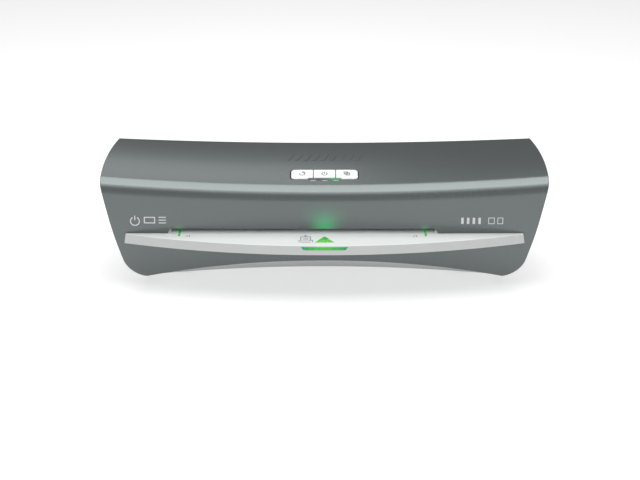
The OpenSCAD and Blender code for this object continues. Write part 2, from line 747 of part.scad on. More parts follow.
module frame_screws() {
    color([0.80, 0.80, 0.82]) {
        for (p = tie_at) {
            translate([plate_l_x - 2.05, p[0], p[1]]) rotate([0, 90, 0]) pan_screw(8, 2.4);
            translate([plate_r_x + plate_t + 2.05, p[0], p[1]]) rotate([0, -90, 0])
                pan_screw(8, 2.4);
        }
        for (p = frame_boss) translate([p[0], p[1], floor_z + 7.85]) rotate([180, 0, 0])
            pan_screw(5, 2.4);
        for (p = pcb_boss) translate([p[0], p[1], floor_z + 10.2]) rotate([180, 0, 0])
            pan_screw(6, 2.4);
        for (p = standoff_at)
            translate([bracket_x + plate_t + 2.05, p[0], p[1]]) rotate([0, -90, 0])
                pan_screw(6, 2.4);
    }
}

// ---- Rollers ----

module shaft(y, z) {
    color([0.82, 0.83, 0.85]) difference() {
        rod([shaft_l_x, y, z], shaft_r_x - shaft_l_x, shaft_d);
        rod([shaft_l_x - 1, y, z], 4, 2);
    }
}
module sleeve(y, z) {
    color([0.80, 0.30, 0.16]) difference() {
        rod([slot_x - sleeve_half, y, z], 2 * sleeve_half, 2 * sleeve_r);
        rod([slot_x - sleeve_half - 1, y, z], 2 * sleeve_half + 2, shaft_d + 0.04);
    }
}
module roller_gear(y, z, phase) {
    color([0.93, 0.92, 0.86]) gear([y, z], roller_teeth, phase, shaft_d + 0.04, 12);
}

module front_lower_shaft() { shaft(front_roller_y, low_z); }
module front_lower_sleeve() { sleeve(front_roller_y, low_z); }
module front_lower_gear() { roller_gear(front_roller_y, low_z, 0); }
module front_upper_shaft() { shaft(front_roller_y, high_z); }
module front_upper_sleeve() { sleeve(front_roller_y, high_z); }
module front_upper_gear() { roller_gear(front_roller_y, high_z, upper_phase); }
module rear_lower_shaft() { shaft(rear_roller_y, low_z); }
module rear_lower_sleeve() { sleeve(rear_roller_y, low_z); }
module rear_lower_gear() { roller_gear(rear_roller_y, low_z, rear_phase); }
module rear_upper_shaft() { shaft(rear_roller_y, high_z); }
module rear_upper_sleeve() { sleeve(rear_roller_y, high_z); }
module rear_upper_gear() { roller_gear(rear_roller_y, high_z, rear_upper_phase); }

module lower_bushes() {
    color([0.25, 0.22, 0.18]) for (y = [front_roller_y, rear_roller_y])
        for (side = [0, 1]) {
            x = side == 0 ? plate_l_x - 0.5 : plate_r_x - 2.4;
            flange_x = side == 0 ? plate_l_x + plate_t + 0.05 : plate_r_x - 1.85;
            difference() {
                union() {
                    rod([x, y, low_z], 4.4, 11.9);
                    rod([flange_x, y, low_z], 1.8, 15);
                }
                rod([x - 1, y, low_z], 8, shaft_d + 2 * fit);
            }
        }
}

// Pair of blocks that carry an upper roller and slide up and down in the frame
module bearing_blocks(y) {
    color([0.20, 0.20, 0.21]) for (side = [0, 1]) {
        x = side == 0 ? plate_l_x + plate_t + 0.1 : plate_r_x - block_l - 0.1;
        neck_x = side == 0 ? plate_l_x - 1 : plate_r_x - 0.2;
        difference() {
            union() {
                block([x, y - block_w / 2, high_z - block_h / 2],
                      [x + block_l, y + block_w / 2, high_z + block_h / 2]);
                block([neck_x, y - neck_w / 2, high_z - block_h / 2],
                      [neck_x + 2.8, y + neck_w / 2, high_z + block_h / 2]);
                translate([spring_x(side), y, high_z + block_h / 2 - eps])
                    cylinder(h = 2.5, d = 5);
            }
            rod([x - 6, y, high_z], block_l + 12, shaft_d + 2 * fit);
        }
    }
}
function spring_x(side) =
    side == 0 ? plate_l_x + plate_t + spring_x_in : plate_r_x - spring_x_in;
module front_bearing_blocks() { bearing_blocks(front_roller_y); }
module rear_bearing_blocks() { bearing_blocks(rear_roller_y); }

spring_wire = 1;
spring_d = 8;
spring_turns = 5;
module pressure_springs(y) {
    low = high_z + block_h / 2 + spring_wire / 2 + 0.05;
    high = spring_seat_z - spring_wire / 2 - 0.05;
    steps = 14;
    color([0.60, 0.62, 0.64]) for (side = [0, 1])
        tube([for (i = [0:spring_turns * steps]) let (a = 360 * i / steps)
            [spring_x(side) + spring_d / 2 * cos(a), y + spring_d / 2 * sin(a),
             mix(low, high, i / (spring_turns * steps))]], spring_wire / 2, 6);
}
module front_pressure_springs() { pressure_springs(front_roller_y); }
module rear_pressure_springs() { pressure_springs(rear_roller_y); }

// ---- Drive ----

module idler_gear() {
    color([0.93, 0.92, 0.86]) gear([idler_y, low_z], idler_teeth, idler_phase, 6 + 2 * fit, 11);
}

module idler_stud() {
    color([0.80, 0.81, 0.83]) {
        rod([plate_r_x - 1, idler_y, low_z], plate_t + 1.2, 3.96);
        rod([plate_r_x + plate_t + 0.05, idler_y, low_z], 0.9, 9);
        rod([plate_r_x + plate_t + 0.05, idler_y, low_z], gear_w + 4.2, 6);
    }
}

module gear_motor() {
    can_x = bracket_x + plate_t + 20;
    color([0.62, 0.64, 0.66]) difference() {
        union() {
            rod([bracket_x + plate_t + 0.05, idler_y, pinion_z], 20, 33);
            rod([can_x, idler_y, pinion_z], 16, 27);
            rod([can_x + 15, idler_y, pinion_z], 3, 9);
            rod([bracket_x - 1.5, idler_y, pinion_z], 4, 11.9);
        }
        rod([bracket_x - 3, idler_y, pinion_z], 14, 6 + 2 * fit);
    }
}

module motor_bracket() {
    color([0.70, 0.72, 0.74]) difference() {
        along_x(bracket_x, plate_t)
            polygon([[-13, 17], [-13, 30], [10, 80], [22, 80], [45, 30], [45, 14], [20, 14]]);
        rod([bracket_x - 1, idler_y, pinion_z], plate_t + 2, 12);
        rod([bracket_x - 1, idler_y, 54], plate_t + 2, 14);
        for (p = standoff_at) rod([bracket_x - 1, p[0], p[1]], plate_t + 2, 3.2);
    }
}

module motor_standoffs() {
    color([0.85, 0.72, 0.40]) for (p = standoff_at) difference() {
        rod([plate_r_x + plate_t + 0.05, p[0], p[1]], bracket_x - plate_r_x - plate_t - 0.1, 7);
        rod([plate_r_x, p[0], p[1]], 30, 2.5);
    }
}

module motor_shaft() {
    color([0.82, 0.83, 0.85]) rod([gear_x - 1, idler_y, pinion_z], 18, 6);
}

module drive_pinion() {
    color([0.85, 0.75, 0.45]) gear([idler_y, pinion_z], pinion_teeth, pinion_phase, 6.04, 9.4);
}

// ---- Heating ----

heat_half = 106;
heat_y0 = idler_y - 12.5;
heat_y1 = idler_y + 12.5;
plate_gap = 1.7;

module heating_plate(top) {
    z = top ? nip_z + plate_gap : nip_z - plate_gap - 3;
    m = top ? 1 : -1;
    color([0.80, 0.81, 0.82]) along_x(slot_x - heat_half, 2 * heat_half)
        polygon([[heat_y0, nip_z + m * (plate_gap + 2.2)], [heat_y0 + 3, nip_z + m * plate_gap],
                 [heat_y1 - 3, nip_z + m * plate_gap], [heat_y1, nip_z + m * (plate_gap + 2.2)],
                 [heat_y1, nip_z + m * (plate_gap + 3)], [heat_y0, nip_z + m * (plate_gap + 3)]]);
}
module upper_heating_plate() { heating_plate(true); }
module lower_heating_plate() { heating_plate(false); }

module heating_elements() {
    color([0.78, 0.70, 0.52]) {
        block([slot_x - 100, idler_y - 9, nip_z + plate_gap + 3.05],
              [slot_x + 100, idler_y + 9, nip_z + plate_gap + 4.8]);
        block([slot_x - 100, idler_y - 9, nip_z - plate_gap - 4.8],
              [slot_x + 100, idler_y + 9, nip_z - plate_gap - 3.05]);
    }
}

module heat_shields() {
    x0 = plate_l_x + plate_t + 0.05;
    length = plate_r_x - plate_l_x - plate_t - 0.1;
    color([0.76, 0.78, 0.80]) {
        along_x(x0, length) difference() {
            translate([heat_y0 + 0.5, 65.5]) square([24, 13]);
            translate([heat_y0 + 1.3, 64.5]) square([22.4, 13.2]);
        }
        along_x(x0, length) difference() {
            translate([heat_y0 + 0.5, 38]) square([24, 11]);
            translate([heat_y0 + 1.3, 38.8]) square([22.4, 11.2]);
        }
    }
}

module thermal_cutouts() {
    z = nip_z + plate_gap + 4.85;
    color([0.88, 0.86, 0.80]) {
        translate([slot_x - 30, idler_y, z]) cylinder(h = 7, d = 14);
        translate([slot_x - 30, idler_y, z + 7 - eps]) cylinder(h = 2, d = 9);
        rod([slot_x + 20, idler_y, z + 2.2], 12, 4);
        rod([slot_x + 12, idler_y, z + 2.2], 28, 1);
    }
}

module temperature_sensor() {
    z = nip_z + plate_gap + 4.85;
    color([0.20, 0.20, 0.22]) {
        block([slot_x - 64, idler_y - 5, z], [slot_x - 52, idler_y + 5, z + 1.2]);
        rod([slot_x - 62, idler_y, z + 2], 8, 2.4);
    }
}

// ---- Electronics ----

module main_pcb() {
    z = floor_z + 6.6;
    color([0.10, 0.38, 0.20]) difference() {
        block([-62, 14, z], [62, 60, z + 1.6]);
        for (p = pcb_boss) translate([p[0], p[1], 0]) cylinder(h = 40, d = 3);
    }
    color([0.75, 0.66, 0.30]) block([-44, 19, z + 1.6 - eps], [-12, 44, z + 17]);
    color([0.15, 0.30, 0.60]) for (x = [0, 14]) translate([x, 40, z + 1.6 - eps])
        cylinder(h = 14, d = 10);
    color([0.10, 0.10, 0.11]) block([24, 18, z + 1.6 - eps], [43, 33, z + 15]);
    color([0.12, 0.12, 0.12]) block([-6, 20, z + 1.6 - eps], [12, 28, z + 5]);
    color([0.90, 0.90, 0.86]) for (y = [34, 45])
        block([46, y - 4, z + 1.6 - eps], [60, y + 4, z + 9]);
}

harness_routes = [
    [[46, 16, 16], [70, 7, 17], [86, -10, 20], [97, -24, 24], [104, -33, 36], [106, -34, 56],
     [99, -31, 76], [66, -25, 85], [28, -19, 86], [10, -17, 88]],
    [[62, 45, 17], [72, 53, 15], [92, 60, 15], [122, 60, 18], [140, 52, 20], [153, 47, 22],
     [159, 38, 22], [159, 26, 24]],
    [[-60, 30, 16], [-80, 22, 16], [-112, 2, 14.5], [-134, -8, 13], [-147, -7, 17],
     [-152, 0, 32], [-151, 10, 50], [-147, 16, 59], [-141, 16, 60], [-133, 16, 61],
     [-126, 16, 65], [-112, 16, 66.4]]];

module wiring_harness() {
    color([0.12, 0.12, 0.13]) for (r = harness_routes) tube(through(r), 1.5, 8);
}

top_cover();
feed_tray();
slot_guide();
button_frame();
power_button();
reverse_button();
pouch_button();
indicator_lens();
control_pcb();
button_switches();
indicator_leds();
arrow_lens();
lip_lens();
edge_lenses();
slot_light();
base();
rear_cover();
side_panel_left();
side_panel_right();
exit_guide();
rubber_feet();
housing_screws();
cord_gland();
frame_plate_left();
frame_plate_right();
tie_rods();
frame_screws();
front_lower_shaft();
front_lower_sleeve();
front_lower_gear();
front_upper_shaft();
front_upper_sleeve();
front_upper_gear();
rear_lower_shaft();
rear_lower_sleeve();
rear_lower_gear();
rear_upper_shaft();
rear_upper_sleeve();
rear_upper_gear();
lower_bushes();
front_bearing_blocks();
rear_bearing_blocks();
front_pressure_springs();
rear_pressure_springs();
idler_gear();
idler_stud();
gear_motor();
motor_bracket();
motor_standoffs();
motor_shaft();
drive_pinion();
upper_heating_plate();
lower_heating_plate();
heating_elements();
heat_shields();
thermal_cutouts();
temperature_sensor();
main_pcb();
wiring_harness();
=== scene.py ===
"""Looks of a desktop pouch laminator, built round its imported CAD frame.

The file is laid out as an add-on: property groups hold the sizes and colours, one operator
makes each piece or group of like pieces, and a sidebar panel lists them. Lengths are in metres.
"""
import math

import bpy
import numpy as np
from bpy.props import FloatProperty, FloatVectorProperty, PointerProperty
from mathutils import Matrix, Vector


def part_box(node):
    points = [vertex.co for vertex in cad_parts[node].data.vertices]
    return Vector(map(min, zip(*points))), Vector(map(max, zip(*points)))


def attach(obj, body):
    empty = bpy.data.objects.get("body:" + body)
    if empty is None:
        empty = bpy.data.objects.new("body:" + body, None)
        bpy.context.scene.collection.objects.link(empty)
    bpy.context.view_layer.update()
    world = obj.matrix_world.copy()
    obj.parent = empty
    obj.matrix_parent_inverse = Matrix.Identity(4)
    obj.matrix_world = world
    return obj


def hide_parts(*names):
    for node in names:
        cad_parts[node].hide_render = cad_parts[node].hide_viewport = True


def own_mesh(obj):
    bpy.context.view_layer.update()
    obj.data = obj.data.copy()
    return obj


bl_info = {
    "name": "Pouch laminator",
    "version": (1, 0, 0),
    "blender": (4, 5, 0),
    "location": "View3D > Sidebar > Laminator",
    "description": "Builds the shells, marks, finishes and studio of a desktop pouch laminator",
    "category": "Object",
}

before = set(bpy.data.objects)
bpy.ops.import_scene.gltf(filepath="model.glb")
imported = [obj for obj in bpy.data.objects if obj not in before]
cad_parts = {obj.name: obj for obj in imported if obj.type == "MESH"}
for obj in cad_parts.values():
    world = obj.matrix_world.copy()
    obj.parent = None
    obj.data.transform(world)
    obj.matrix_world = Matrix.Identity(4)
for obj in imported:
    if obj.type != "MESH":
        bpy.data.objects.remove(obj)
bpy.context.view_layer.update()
MM = 0.001
COVER_LOW, COVER_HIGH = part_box("top_cover")
TRAY_LOW, TRAY_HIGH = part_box("feed_tray")


# ---- Sizes and colours ----

def length(name, description, default):
    """A length property, with its default given in millimetres."""
    return FloatProperty(name=name, description=description, default=default * MM,
                         unit="LENGTH", precision=5)


def number(name, description, default):
    """A plain number property."""
    return FloatProperty(name=name, description=description, default=default)


def spot(name, description, default):
    """A point property, in metres."""
    return FloatVectorProperty(name=name, description=description, default=default, size=3,
                               subtype="XYZ", unit="LENGTH")


def angle(name, description, degrees):
    """An angle property with its default in degrees."""
    return FloatProperty(name=name, description=description, default=math.radians(degrees),
                         subtype="ANGLE")


def colour(name, description, default):
    """A linear colour property."""
    return FloatVectorProperty(name=name, description=description, default=default,
                               size=3, min=0.0, max=1.0, subtype="COLOR")


class CoverSizes(bpy.types.PropertyGroup):
    """Driving sizes of the saddle-shaped cover."""
    half_width: length("Half width", "Half of the width along the ridge", COVER_HIGH.x / MM)
    saddle: length("Saddle rise", "Rise from the middle to the ends", 8)
    wall: length("Wall", "Thickness of the shell", 2.5)
    front: length("Front face", "Place of the upright front face", -45)
    bend_radius: length("Bend radius", "Radius between the top and the front face", 15)
    bend_height: length("Bend height", "Height of the bend's centre line", 83.8)
    bend_slope: angle("Bend slope", "Slope of the top where it meets the bend", 18)
    crown_radius: length("Crown radius", "Radius of the crowned top", 400)
    back_mid: length("Back edge", "Back edge at the middle", 36)
    back_bow: length("Back bow", "How far the back edge bows back", 6.6)
    back_taper: length("Back taper", "Narrowing from the ridge to the back", 9.3)
    side_taper: number("Side taper", "Straight narrowing from the ridge down", 0.2)
    side_curve: number("Side curve", "Curved narrowing from the ridge down, per metre", 0.4)
    under_height: length("Undercut height", "Where the undercut starts", 62)
    under_radius: length("Undercut radius", "Radius of the undercut", 90)
    under_angle: angle("Undercut angle", "Angle at the lower edge", 17)
    edge_mid: length("Edge height", "Height of the lower edge at the middle", 27.6)
    edge_end: length("Edge end height", "Height of the lower edge at its corners", 4.4)
    corner: length("Corner radius", "Radius of the lower corners", 16)


class SlotSizes(bpy.types.PropertyGroup):
    """Sizes of the pouch slot and of the tray in front of it."""
    slot_middle: length("Slot middle", "Middle of the slot across the machine", -19)
    slot_half: length("Slot half width", "Half of the slot's width", 116)
    slot_top: length("Slot top", "Upper edge of the slot", 59.9)
    slot_ramp: length("Slot ramp", "Width of the slanted ends of the slot", 2.6)
    tray_top: length("Tray top", "Height of the tray's top", TRAY_HIGH.z / MM)
    tray_half: length("Tray half width", "Half of the tray's width", TRAY_HIGH.x / MM)
    tray_front: length("Tray front", "Most forward point of the tray", TRAY_LOW.y / MM)
    tray_end: length("Tray end", "Front edge of the tray at its two ends", -46.2)
    tray_back: length("Tray back", "Back edge of the tray in its window", -42.6)
    lip: length("Lip height", "Height of the front lip", 8.5)
    lip_flare: length("Lip flare", "How far the lip's ends lean out", 1.2)
    tray_wall: length("Tray wall", "Thickness of the tray", 2.2)


class RearSizes(bpy.types.PropertyGroup):
    """Sizes of the rear cover and the base."""
    back: length("Back", "Back of the machine", 73)
    shoulder: length("Shoulder height", "Height of the curve's control point", 90)
    foot_width: length("Foot half width", "Half of the width at the lower edge", 171)
    low: length("Lower edge", "Height of the rear cover's lower edge", 24)
    floor: length("Base floor", "Underside of the base", 3)
    floor_half: length("Floor half width", "Half of the floor's width", 158)
    floor_back: length("Floor back", "Back edge of the floor", 66.5)
    wall: length("Wall", "Thickness of both shells", 2.4)
    vent: length("Vent width", "Width of one vent", 3)
    nip_lift: length("Roller lift", "How far the upper rollers rise for a thick pouch", 1.2)


class ButtonSizes(bpy.types.PropertyGroup):
    """Sizes of the three buttons on the sloping deck."""
    deck_y: length("Deck middle", "Middle of the button strip", -21.3)
    deck_z: length("Deck height", "Height of the deck's middle", 102.08)
    slope: angle("Deck slope", "Slope of the deck", 16)
    width: length("Button width", "Width of one button", 19.2)
    depth: length("Button length", "Length of one button along the slope", 14.1)
    gap: length("Button gap", "Gap between two buttons", 0.6)
    corner: length("Corner radius", "Radius of the strip's corners", 3.4)
    notch: length("Notch half width", "Half of the cut-back in front", 14.6)
    notch_y: length("Notch edge", "Front edge of the buttons in the cut-back", -5)
    proud: length("Button height", "Height of a button above the deck", 0.7)


class Finishes(bpy.types.PropertyGroup):
    """Colours of the visible finishes."""
    paint: colour("Cover paint", "Grey metallic paint of the cover", (0.134, 0.151, 0.151))
    tray: colour("Tray plastic", "White plastic of the tray", (0.645, 0.668, 0.658))
    button: colour("Button plastic", "White plastic of the buttons", (0.74, 0.755, 0.75))
    light_grey: colour("Light grey plastic", "Base and rear cover", (0.50, 0.52, 0.51))
    panel: colour("Side panel plastic", "Sunken side panels", (0.10, 0.112, 0.112))
    print_light: colour("Light print", "Marks on the cover", (0.62, 0.65, 0.64))
    print_dark: colour("Dark print", "Marks on the tray and buttons", (0.13, 0.15, 0.14))
    glow: colour("Glow", "Green light of the lamps", (0.02, 0.55, 0.20))


class StudioSettings(bpy.types.PropertyGroup):
    """Camera and light of the studio."""
    camera: spot("Camera", "Place of the camera", (0.0, -1.32557, 0.53883))
    target: spot("Target", "Point the camera looks at", (0.0, -0.010, 0.060))
    lens: number("Focal length", "Focal length in millimetres", 87.508)
    shift_x: number("Shift X", "Sideways shift of the picture", -0.00703)
    shift_y: number("Shift Y", "Upward shift of the picture", -0.03867)
    overhead: number("Overhead light", "Power in watts", 20.5)
    front: number("Front light", "Power in watts", 3.0)
    left: number("Left light", "Power in watts", 1.1)
    sky: number("Sky", "Strength of the light in front", 0.36)
    behind: number("Sky behind", "Strength of the light from behind", 0.22)
    horizon: number("Horizon", "Strength of the light low in front", 0.62)


SETTINGS = {
    "cover": CoverSizes, "slot": SlotSizes, "rear": RearSizes, "buttons": ButtonSizes,
    "finishes": Finishes, "studio": StudioSettings,
}


def settings(name):
    """The settings of that name in this scene."""
    return getattr(bpy.context.scene, "laminator_" + name)


# ---- Shader nodes ----

def joined(operation, swap=False):
    """An operator that adds one Math node, with its two sides swapped where asked."""
    def join(self, other):
        return self.math(operation, *((other, self) if swap else (self, other)))
    return join


class Level:
    """A shader socket that takes part in Python sums: each operator adds a Math node."""

    def __init__(self, nodes, socket):
        self.nodes, self.socket = nodes, socket

    def math(self, operation, *levels):
        """A Math node on the levels given, in order."""
        return self.nodes.node("Math", {"operation": operation}, dict(enumerate(levels)))

    __add__ = __radd__ = joined("ADD")
    __mul__ = __rmul__ = joined("MULTIPLY")
    __sub__, __rsub__ = joined("SUBTRACT"), joined("SUBTRACT", True)
    __truediv__, __rtruediv__ = joined("DIVIDE"), joined("DIVIDE", True)
    low, high = joined("MINIMUM"), joined("MAXIMUM")

    def __neg__(self):
        return 0.0 - self

    def __abs__(self):
        return self.math("ABSOLUTE", self)

    def clip(self):
        """The level held between 0 and 1."""
        return self.low(1.0).high(0.0)

    def exp(self):
        """e to the power of the level."""
        return self.math("EXPONENT", self)

    def sine(self):
        """The sine of the level."""
        return self.math("SINE", self)


class Nodes:
    """The node tree of a world, or of a new material of a given name, while it is made."""

    def __init__(self, owner):
        if isinstance(owner, str):
            owner = bpy.data.materials.new(owner)
        owner.use_nodes = True
        self.owner, self.tree = owner, owner.node_tree
        self.tree.nodes.clear()

    def node(self, kind, options=None, sockets=None, output=0):
        """A node of a type, with its options set first and then its sockets, each a value or
        a link. The output is one socket's name or number, or a tuple of them."""
        made = self.tree.nodes.new("ShaderNode" + kind)
        for key, value in (options or {}).items():
            setattr(made, key, value)
        for key, value in (sockets or {}).items():
            if isinstance(value, Level):
                self.tree.links.new(value.socket, made.inputs[key])
            elif made.inputs[key].type == "RGBA":
                made.inputs[key].default_value = (*value, 1.0)
            else:
                made.inputs[key].default_value = value
        if isinstance(output, tuple):
            return [Level(self, made.outputs[name]) for name in output]
        return Level(self, made.outputs[output]) if len(made.outputs) else None

    def place(self):
        """X, Y and Z of the point on the piece, in metres."""
        point = self.node("TexCoord", output="Object")
        return self.node("SeparateXYZ", sockets={0: point}, output=("X", "Y", "Z"))

    def noise(self, scale, detail=2.0, stretch=(1.0, 1.0, 1.0)):
        """Noise from 0 to 1 with so many bumps a metre, drawn out by the stretch."""
        point = self.node("TexCoord", output="Object")
        if stretch != (1.0, 1.0, 1.0):
            point = self.node("Mapping", sockets={"Vector": point, "Scale": stretch})
        return self.node("TexNoise", sockets={"Vector": point, "Scale": scale,
                                              "Detail": detail}, output="Fac")

    def mix(self, mask, first, second):
        """The first colour where the mask is 0 and the second where it is 1."""
        return self.node("Mix", {"data_type": "RGBA"}, {0: mask, 6: first, 7: second}, 2)

    def vary(self, mask, tone, darker, lighter):
        """The tone times one factor where the mask is 0, and times the other where it is 1."""
        return self.mix(mask, shade(tone, darker), shade(tone, lighter))

    def bump(self, height, depth):
        """A normal that follows a height from 0 to 1, so many metres deep."""
        return self.node("Bump", sockets={"Height": height, "Distance": depth, "Strength": 1.0})

    def surface(self, sockets):
        """Ends a material with a Principled surface."""
        shader = self.node("BsdfPrincipled", sockets=sockets)
        self.node("OutputMaterial", sockets={"Surface": shader})
        return self.owner


def shade(tone, factor):
    """A colour made lighter or darker."""
    return tuple(min(1.0, c * factor) for c in tone)


# ---- Finishes ----

def cover_paint():
    """Grey metallic paint: fine flakes, a slight orange peel, and a painted glow: the lamps'
    green light where it spills over the front face above the slot, painted into the colour and
    the emission."""
    n, look, slot = Nodes("cover_paint"), settings("finishes"), settings("slot")
    x, y, z = n.place()
    flakes = n.noise(5200.0, 1.0)
    cloud = n.noise(9.0, 2.0)
    front = ((-y - 40 * MM) / (3 * MM)).clip()
    rise = (z - slot.slot_top).high(0.0)

    def spill(middle, width, height):
        """Painted light that fades sideways from a middle and upwards from the slot."""
        aside = (x - middle) / (width + rise * 0.35)
        up = rise / height
        return (-(aside * aside) - up * up).exp()

    # Painted light: a green pool over the slot's middle and two small ones by the tick lenses,
    # given as emission and as a green tint of the paint
    lamp = (spill(0.0, 8.5 * MM, 13.5 * MM) * front).clip()
    marks = (spill(slot.slot_middle - 109 * MM, 2.6 * MM, 3.2 * MM)
             + spill(slot.slot_middle + 107 * MM, 2.6 * MM, 3.2 * MM)) * front
    glow = (lamp + marks * 0.45).clip()
    tone = n.vary((flakes * 0.75 + cloud * 0.25).clip(), look.paint, 0.86, 1.14)
    painted_glow_tint = n.mix(glow * 0.2, tone, shade(look.glow, 0.16))
    peel = n.noise(420.0, 1.0)
    return n.surface({
        "Base Color": painted_glow_tint, "Metallic": 0.72, "Roughness": 0.28 + (flakes - 0.5) * 0.10,
        "Coat Weight": 0.16, "Coat Roughness": 0.12,
        "Emission Color": n.mix(glow, (0.0, 0.0, 0.0), shade(look.glow, 0.48)),
        "Emission Strength": 1.0,
        "Normal": n.bump(peel * 0.7 + flakes * 0.3, 0.012 * MM)})


def moulded(name, tone, roughness, grain=2600.0, depth=0.02, coat=0.0):
    """Moulded plastic: a faintly cloudy tone, uneven gloss and a fine grain, so many
    millimetres deep. The tone is a colour, or the name of one in the settings."""
    if isinstance(tone, str):
        tone = getattr(settings("finishes"), tone)
    n = Nodes(name)
    cloud = n.noise(22.0, 3.0)
    fine = n.noise(grain, 2.0)
    polish = {"Coat Weight": coat, "Coat Roughness": 0.08} if coat else {}
    return n.surface({
        "Base Color": n.vary((cloud * 0.6 + fine * 0.4).clip(), tone, 0.95, 1.04),
        "Roughness": roughness + (cloud - 0.5) * 0.10 + (fine - 0.5) * 0.06,
        "Normal": n.bump(fine, depth * MM), **polish})


def tray_plastic():
    """White plastic of the tray: the parts that face up are glossier and get a lighter tone, and
    the front lip is rougher with a greyer tone; the tone set by which way a face points is
    painted light and shade."""
    n, tone = Nodes("tray_plastic"), settings("finishes").tray
    cloud, fine = n.noise(22.0, 3.0), n.noise(3000.0, 2.0)
    facing = n.node("NewGeometry", output="Normal")
    up = n.node("SeparateXYZ", sockets={0: facing}, output="Z")
    # Painted light and shade: faces that point up get a lighter copy of the tone and the
    # forward-facing lip a darker one; the same mask also lowers the roughness on top
    polish_and_painted_light = (up * 2.5).clip()
    grain = (cloud * 0.6 + fine * 0.4).clip()
    painted_shade_tone, bright = n.vary(grain, tone, 0.745, 0.812), n.vary(grain, tone, 1.0, 1.09)
    return n.surface({
        "Base Color": n.mix(polish_and_painted_light, painted_shade_tone, bright),
        "Roughness": 0.48 - polish_and_painted_light * 0.08 + (fine - 0.5) * 0.06,
        "Normal": n.bump(fine, 0.012 * MM)})


def guide_plastic():
    """The slot guide: darker deep in the slot as painted shade, and white at the slot's opening
    with a painted glow that stands in for the light that reaches it."""
    n = Nodes("guide_plastic")
    cloud, fine = n.noise(22.0, 3.0), n.noise(1800.0, 2.0)
    # Painted shade and painted light: grey deep in the slot, white towards its opening, with a
    # white emission added at the opening
    mouth_painted_light = ((abs(n.place()[1]) - 32 * MM) / (12 * MM)).clip()
    deep, pale = (0.48, 0.50, 0.49), (0.86, 0.88, 0.87)
    grain = cloud * 0.05 + fine * 0.03
    return n.surface({
        "Base Color": n.mix((mouth_painted_light * 2.0 - grain).clip(), deep, pale),
        "Roughness": 0.42 + (fine - 0.5) * 0.06,
        "Emission Color": n.mix((mouth_painted_light * 2.0 - 1.0).clip(), (0.0, 0.0, 0.0), (0.95, 1.0, 0.98)),
        "Emission Strength": 0.24,
        "Normal": n.bump(fine, 0.02 * MM)})


def metal(name, tone, roughness, stretch=1.0, scale=900.0):
    """Drawn or turned metal: streaks along the way it was worked, drawn out along X by the
    stretch."""
    n = Nodes(name)
    streaks = n.noise(scale, 3.0, (stretch, 1.0, 1.0))
    cloud = n.noise(30.0, 2.0)
    return n.surface({
        "Base Color": n.vary(streaks * 0.7 + cloud * 0.3, tone, 0.86, 1.08),
        "Metallic": 1.0, "Roughness": roughness + (streaks - 0.5) * 0.18,
        "Normal": n.bump(streaks, 0.01 * MM)})


def lit_lens(name, dark, bright, along, start, end, strength):
    """A lit green lens whose colour runs from dark to bright along one axis, 0, 1 or 2, from a
    start to an end in millimetres. A fine cloud keeps the light uneven."""
    n = Nodes(name)
    share = ((abs(n.place()[along]) - start * MM) / ((end - start) * MM)).clip()
    cloud = n.noise(320.0, 2.0)
    run = n.mix((share * 0.9 + cloud * 0.1).clip(), dark, bright)
    return n.surface({"Base Color": run, "Roughness": 0.22 + cloud * 0.1,
                      "Emission Color": run, "Emission Strength": strength,
                      "Normal": n.bump(cloud, 0.01 * MM)})


def smoke_lens():
    """Smoke-grey lens with a green lamp lit behind one part of its back edge."""
    n, size, look = Nodes("smoke_lens"), settings("buttons"), settings("finishes")
    x, y, _ = n.place()
    along = (1.0 - abs(x - 9.2 * MM) / (6.6 * MM)).clip()
    back = size.deck_y + (size.notch_y - 1.2 * MM) * math.cos(size.slope)
    across = ((1.0 - abs(y - back) / (2.6 * MM)) * 2.0).clip()
    lamp = (along * 3.5).low(1.0) * across
    fine = n.noise(1800.0, 2.0)
    return n.surface({
        "Base Color": n.mix(lamp, n.mix(fine, (0.085, 0.095, 0.095), (0.105, 0.117, 0.117)),
                            (0.02, 0.16, 0.04)),
        "Roughness": 0.30 + (fine - 0.5) * 0.08,
        "Emission Color": n.mix(lamp, (0.0, 0.0, 0.0), shade(look.glow, 0.36)),
        "Emission Strength": 1.0, "Normal": n.bump(fine, 0.01 * MM)})


def circuit_board():
    """Green solder mask with raised tracks as a fine square pattern of ridges."""
    n = Nodes("circuit_board")
    x, y, _ = n.place()
    tracks = ((x * 1900.0).sine() * (y * 1700.0).sine() * 3.0 + 0.5).clip()
    fine = n.noise(1200.0, 2.0)
    return n.surface({
        "Base Color": n.mix((tracks * 0.8 + fine * 0.2).clip(), (0.008, 0.085, 0.028),
                            (0.02, 0.17, 0.06)),
        "Roughness": 0.34 + (fine - 0.5) * 0.1, "Coat Weight": 0.3, "Coat Roughness": 0.2,
        "Normal": n.bump(tracks, 0.04 * MM)})


def wire_insulation():
    """Insulation of a wire: smooth, with faint rings where it was drawn."""
    n = Nodes("wire_insulation")
    rings = n.noise(600.0, 2.0)
    return n.surface({"Base Color": n.mix(rings, (0.024, 0.024, 0.0256), (0.039, 0.039, 0.0416)),
                      "Roughness": 0.42 + (rings - 0.5) * 0.1,
                      "Normal": n.bump(rings, 0.03 * MM)})


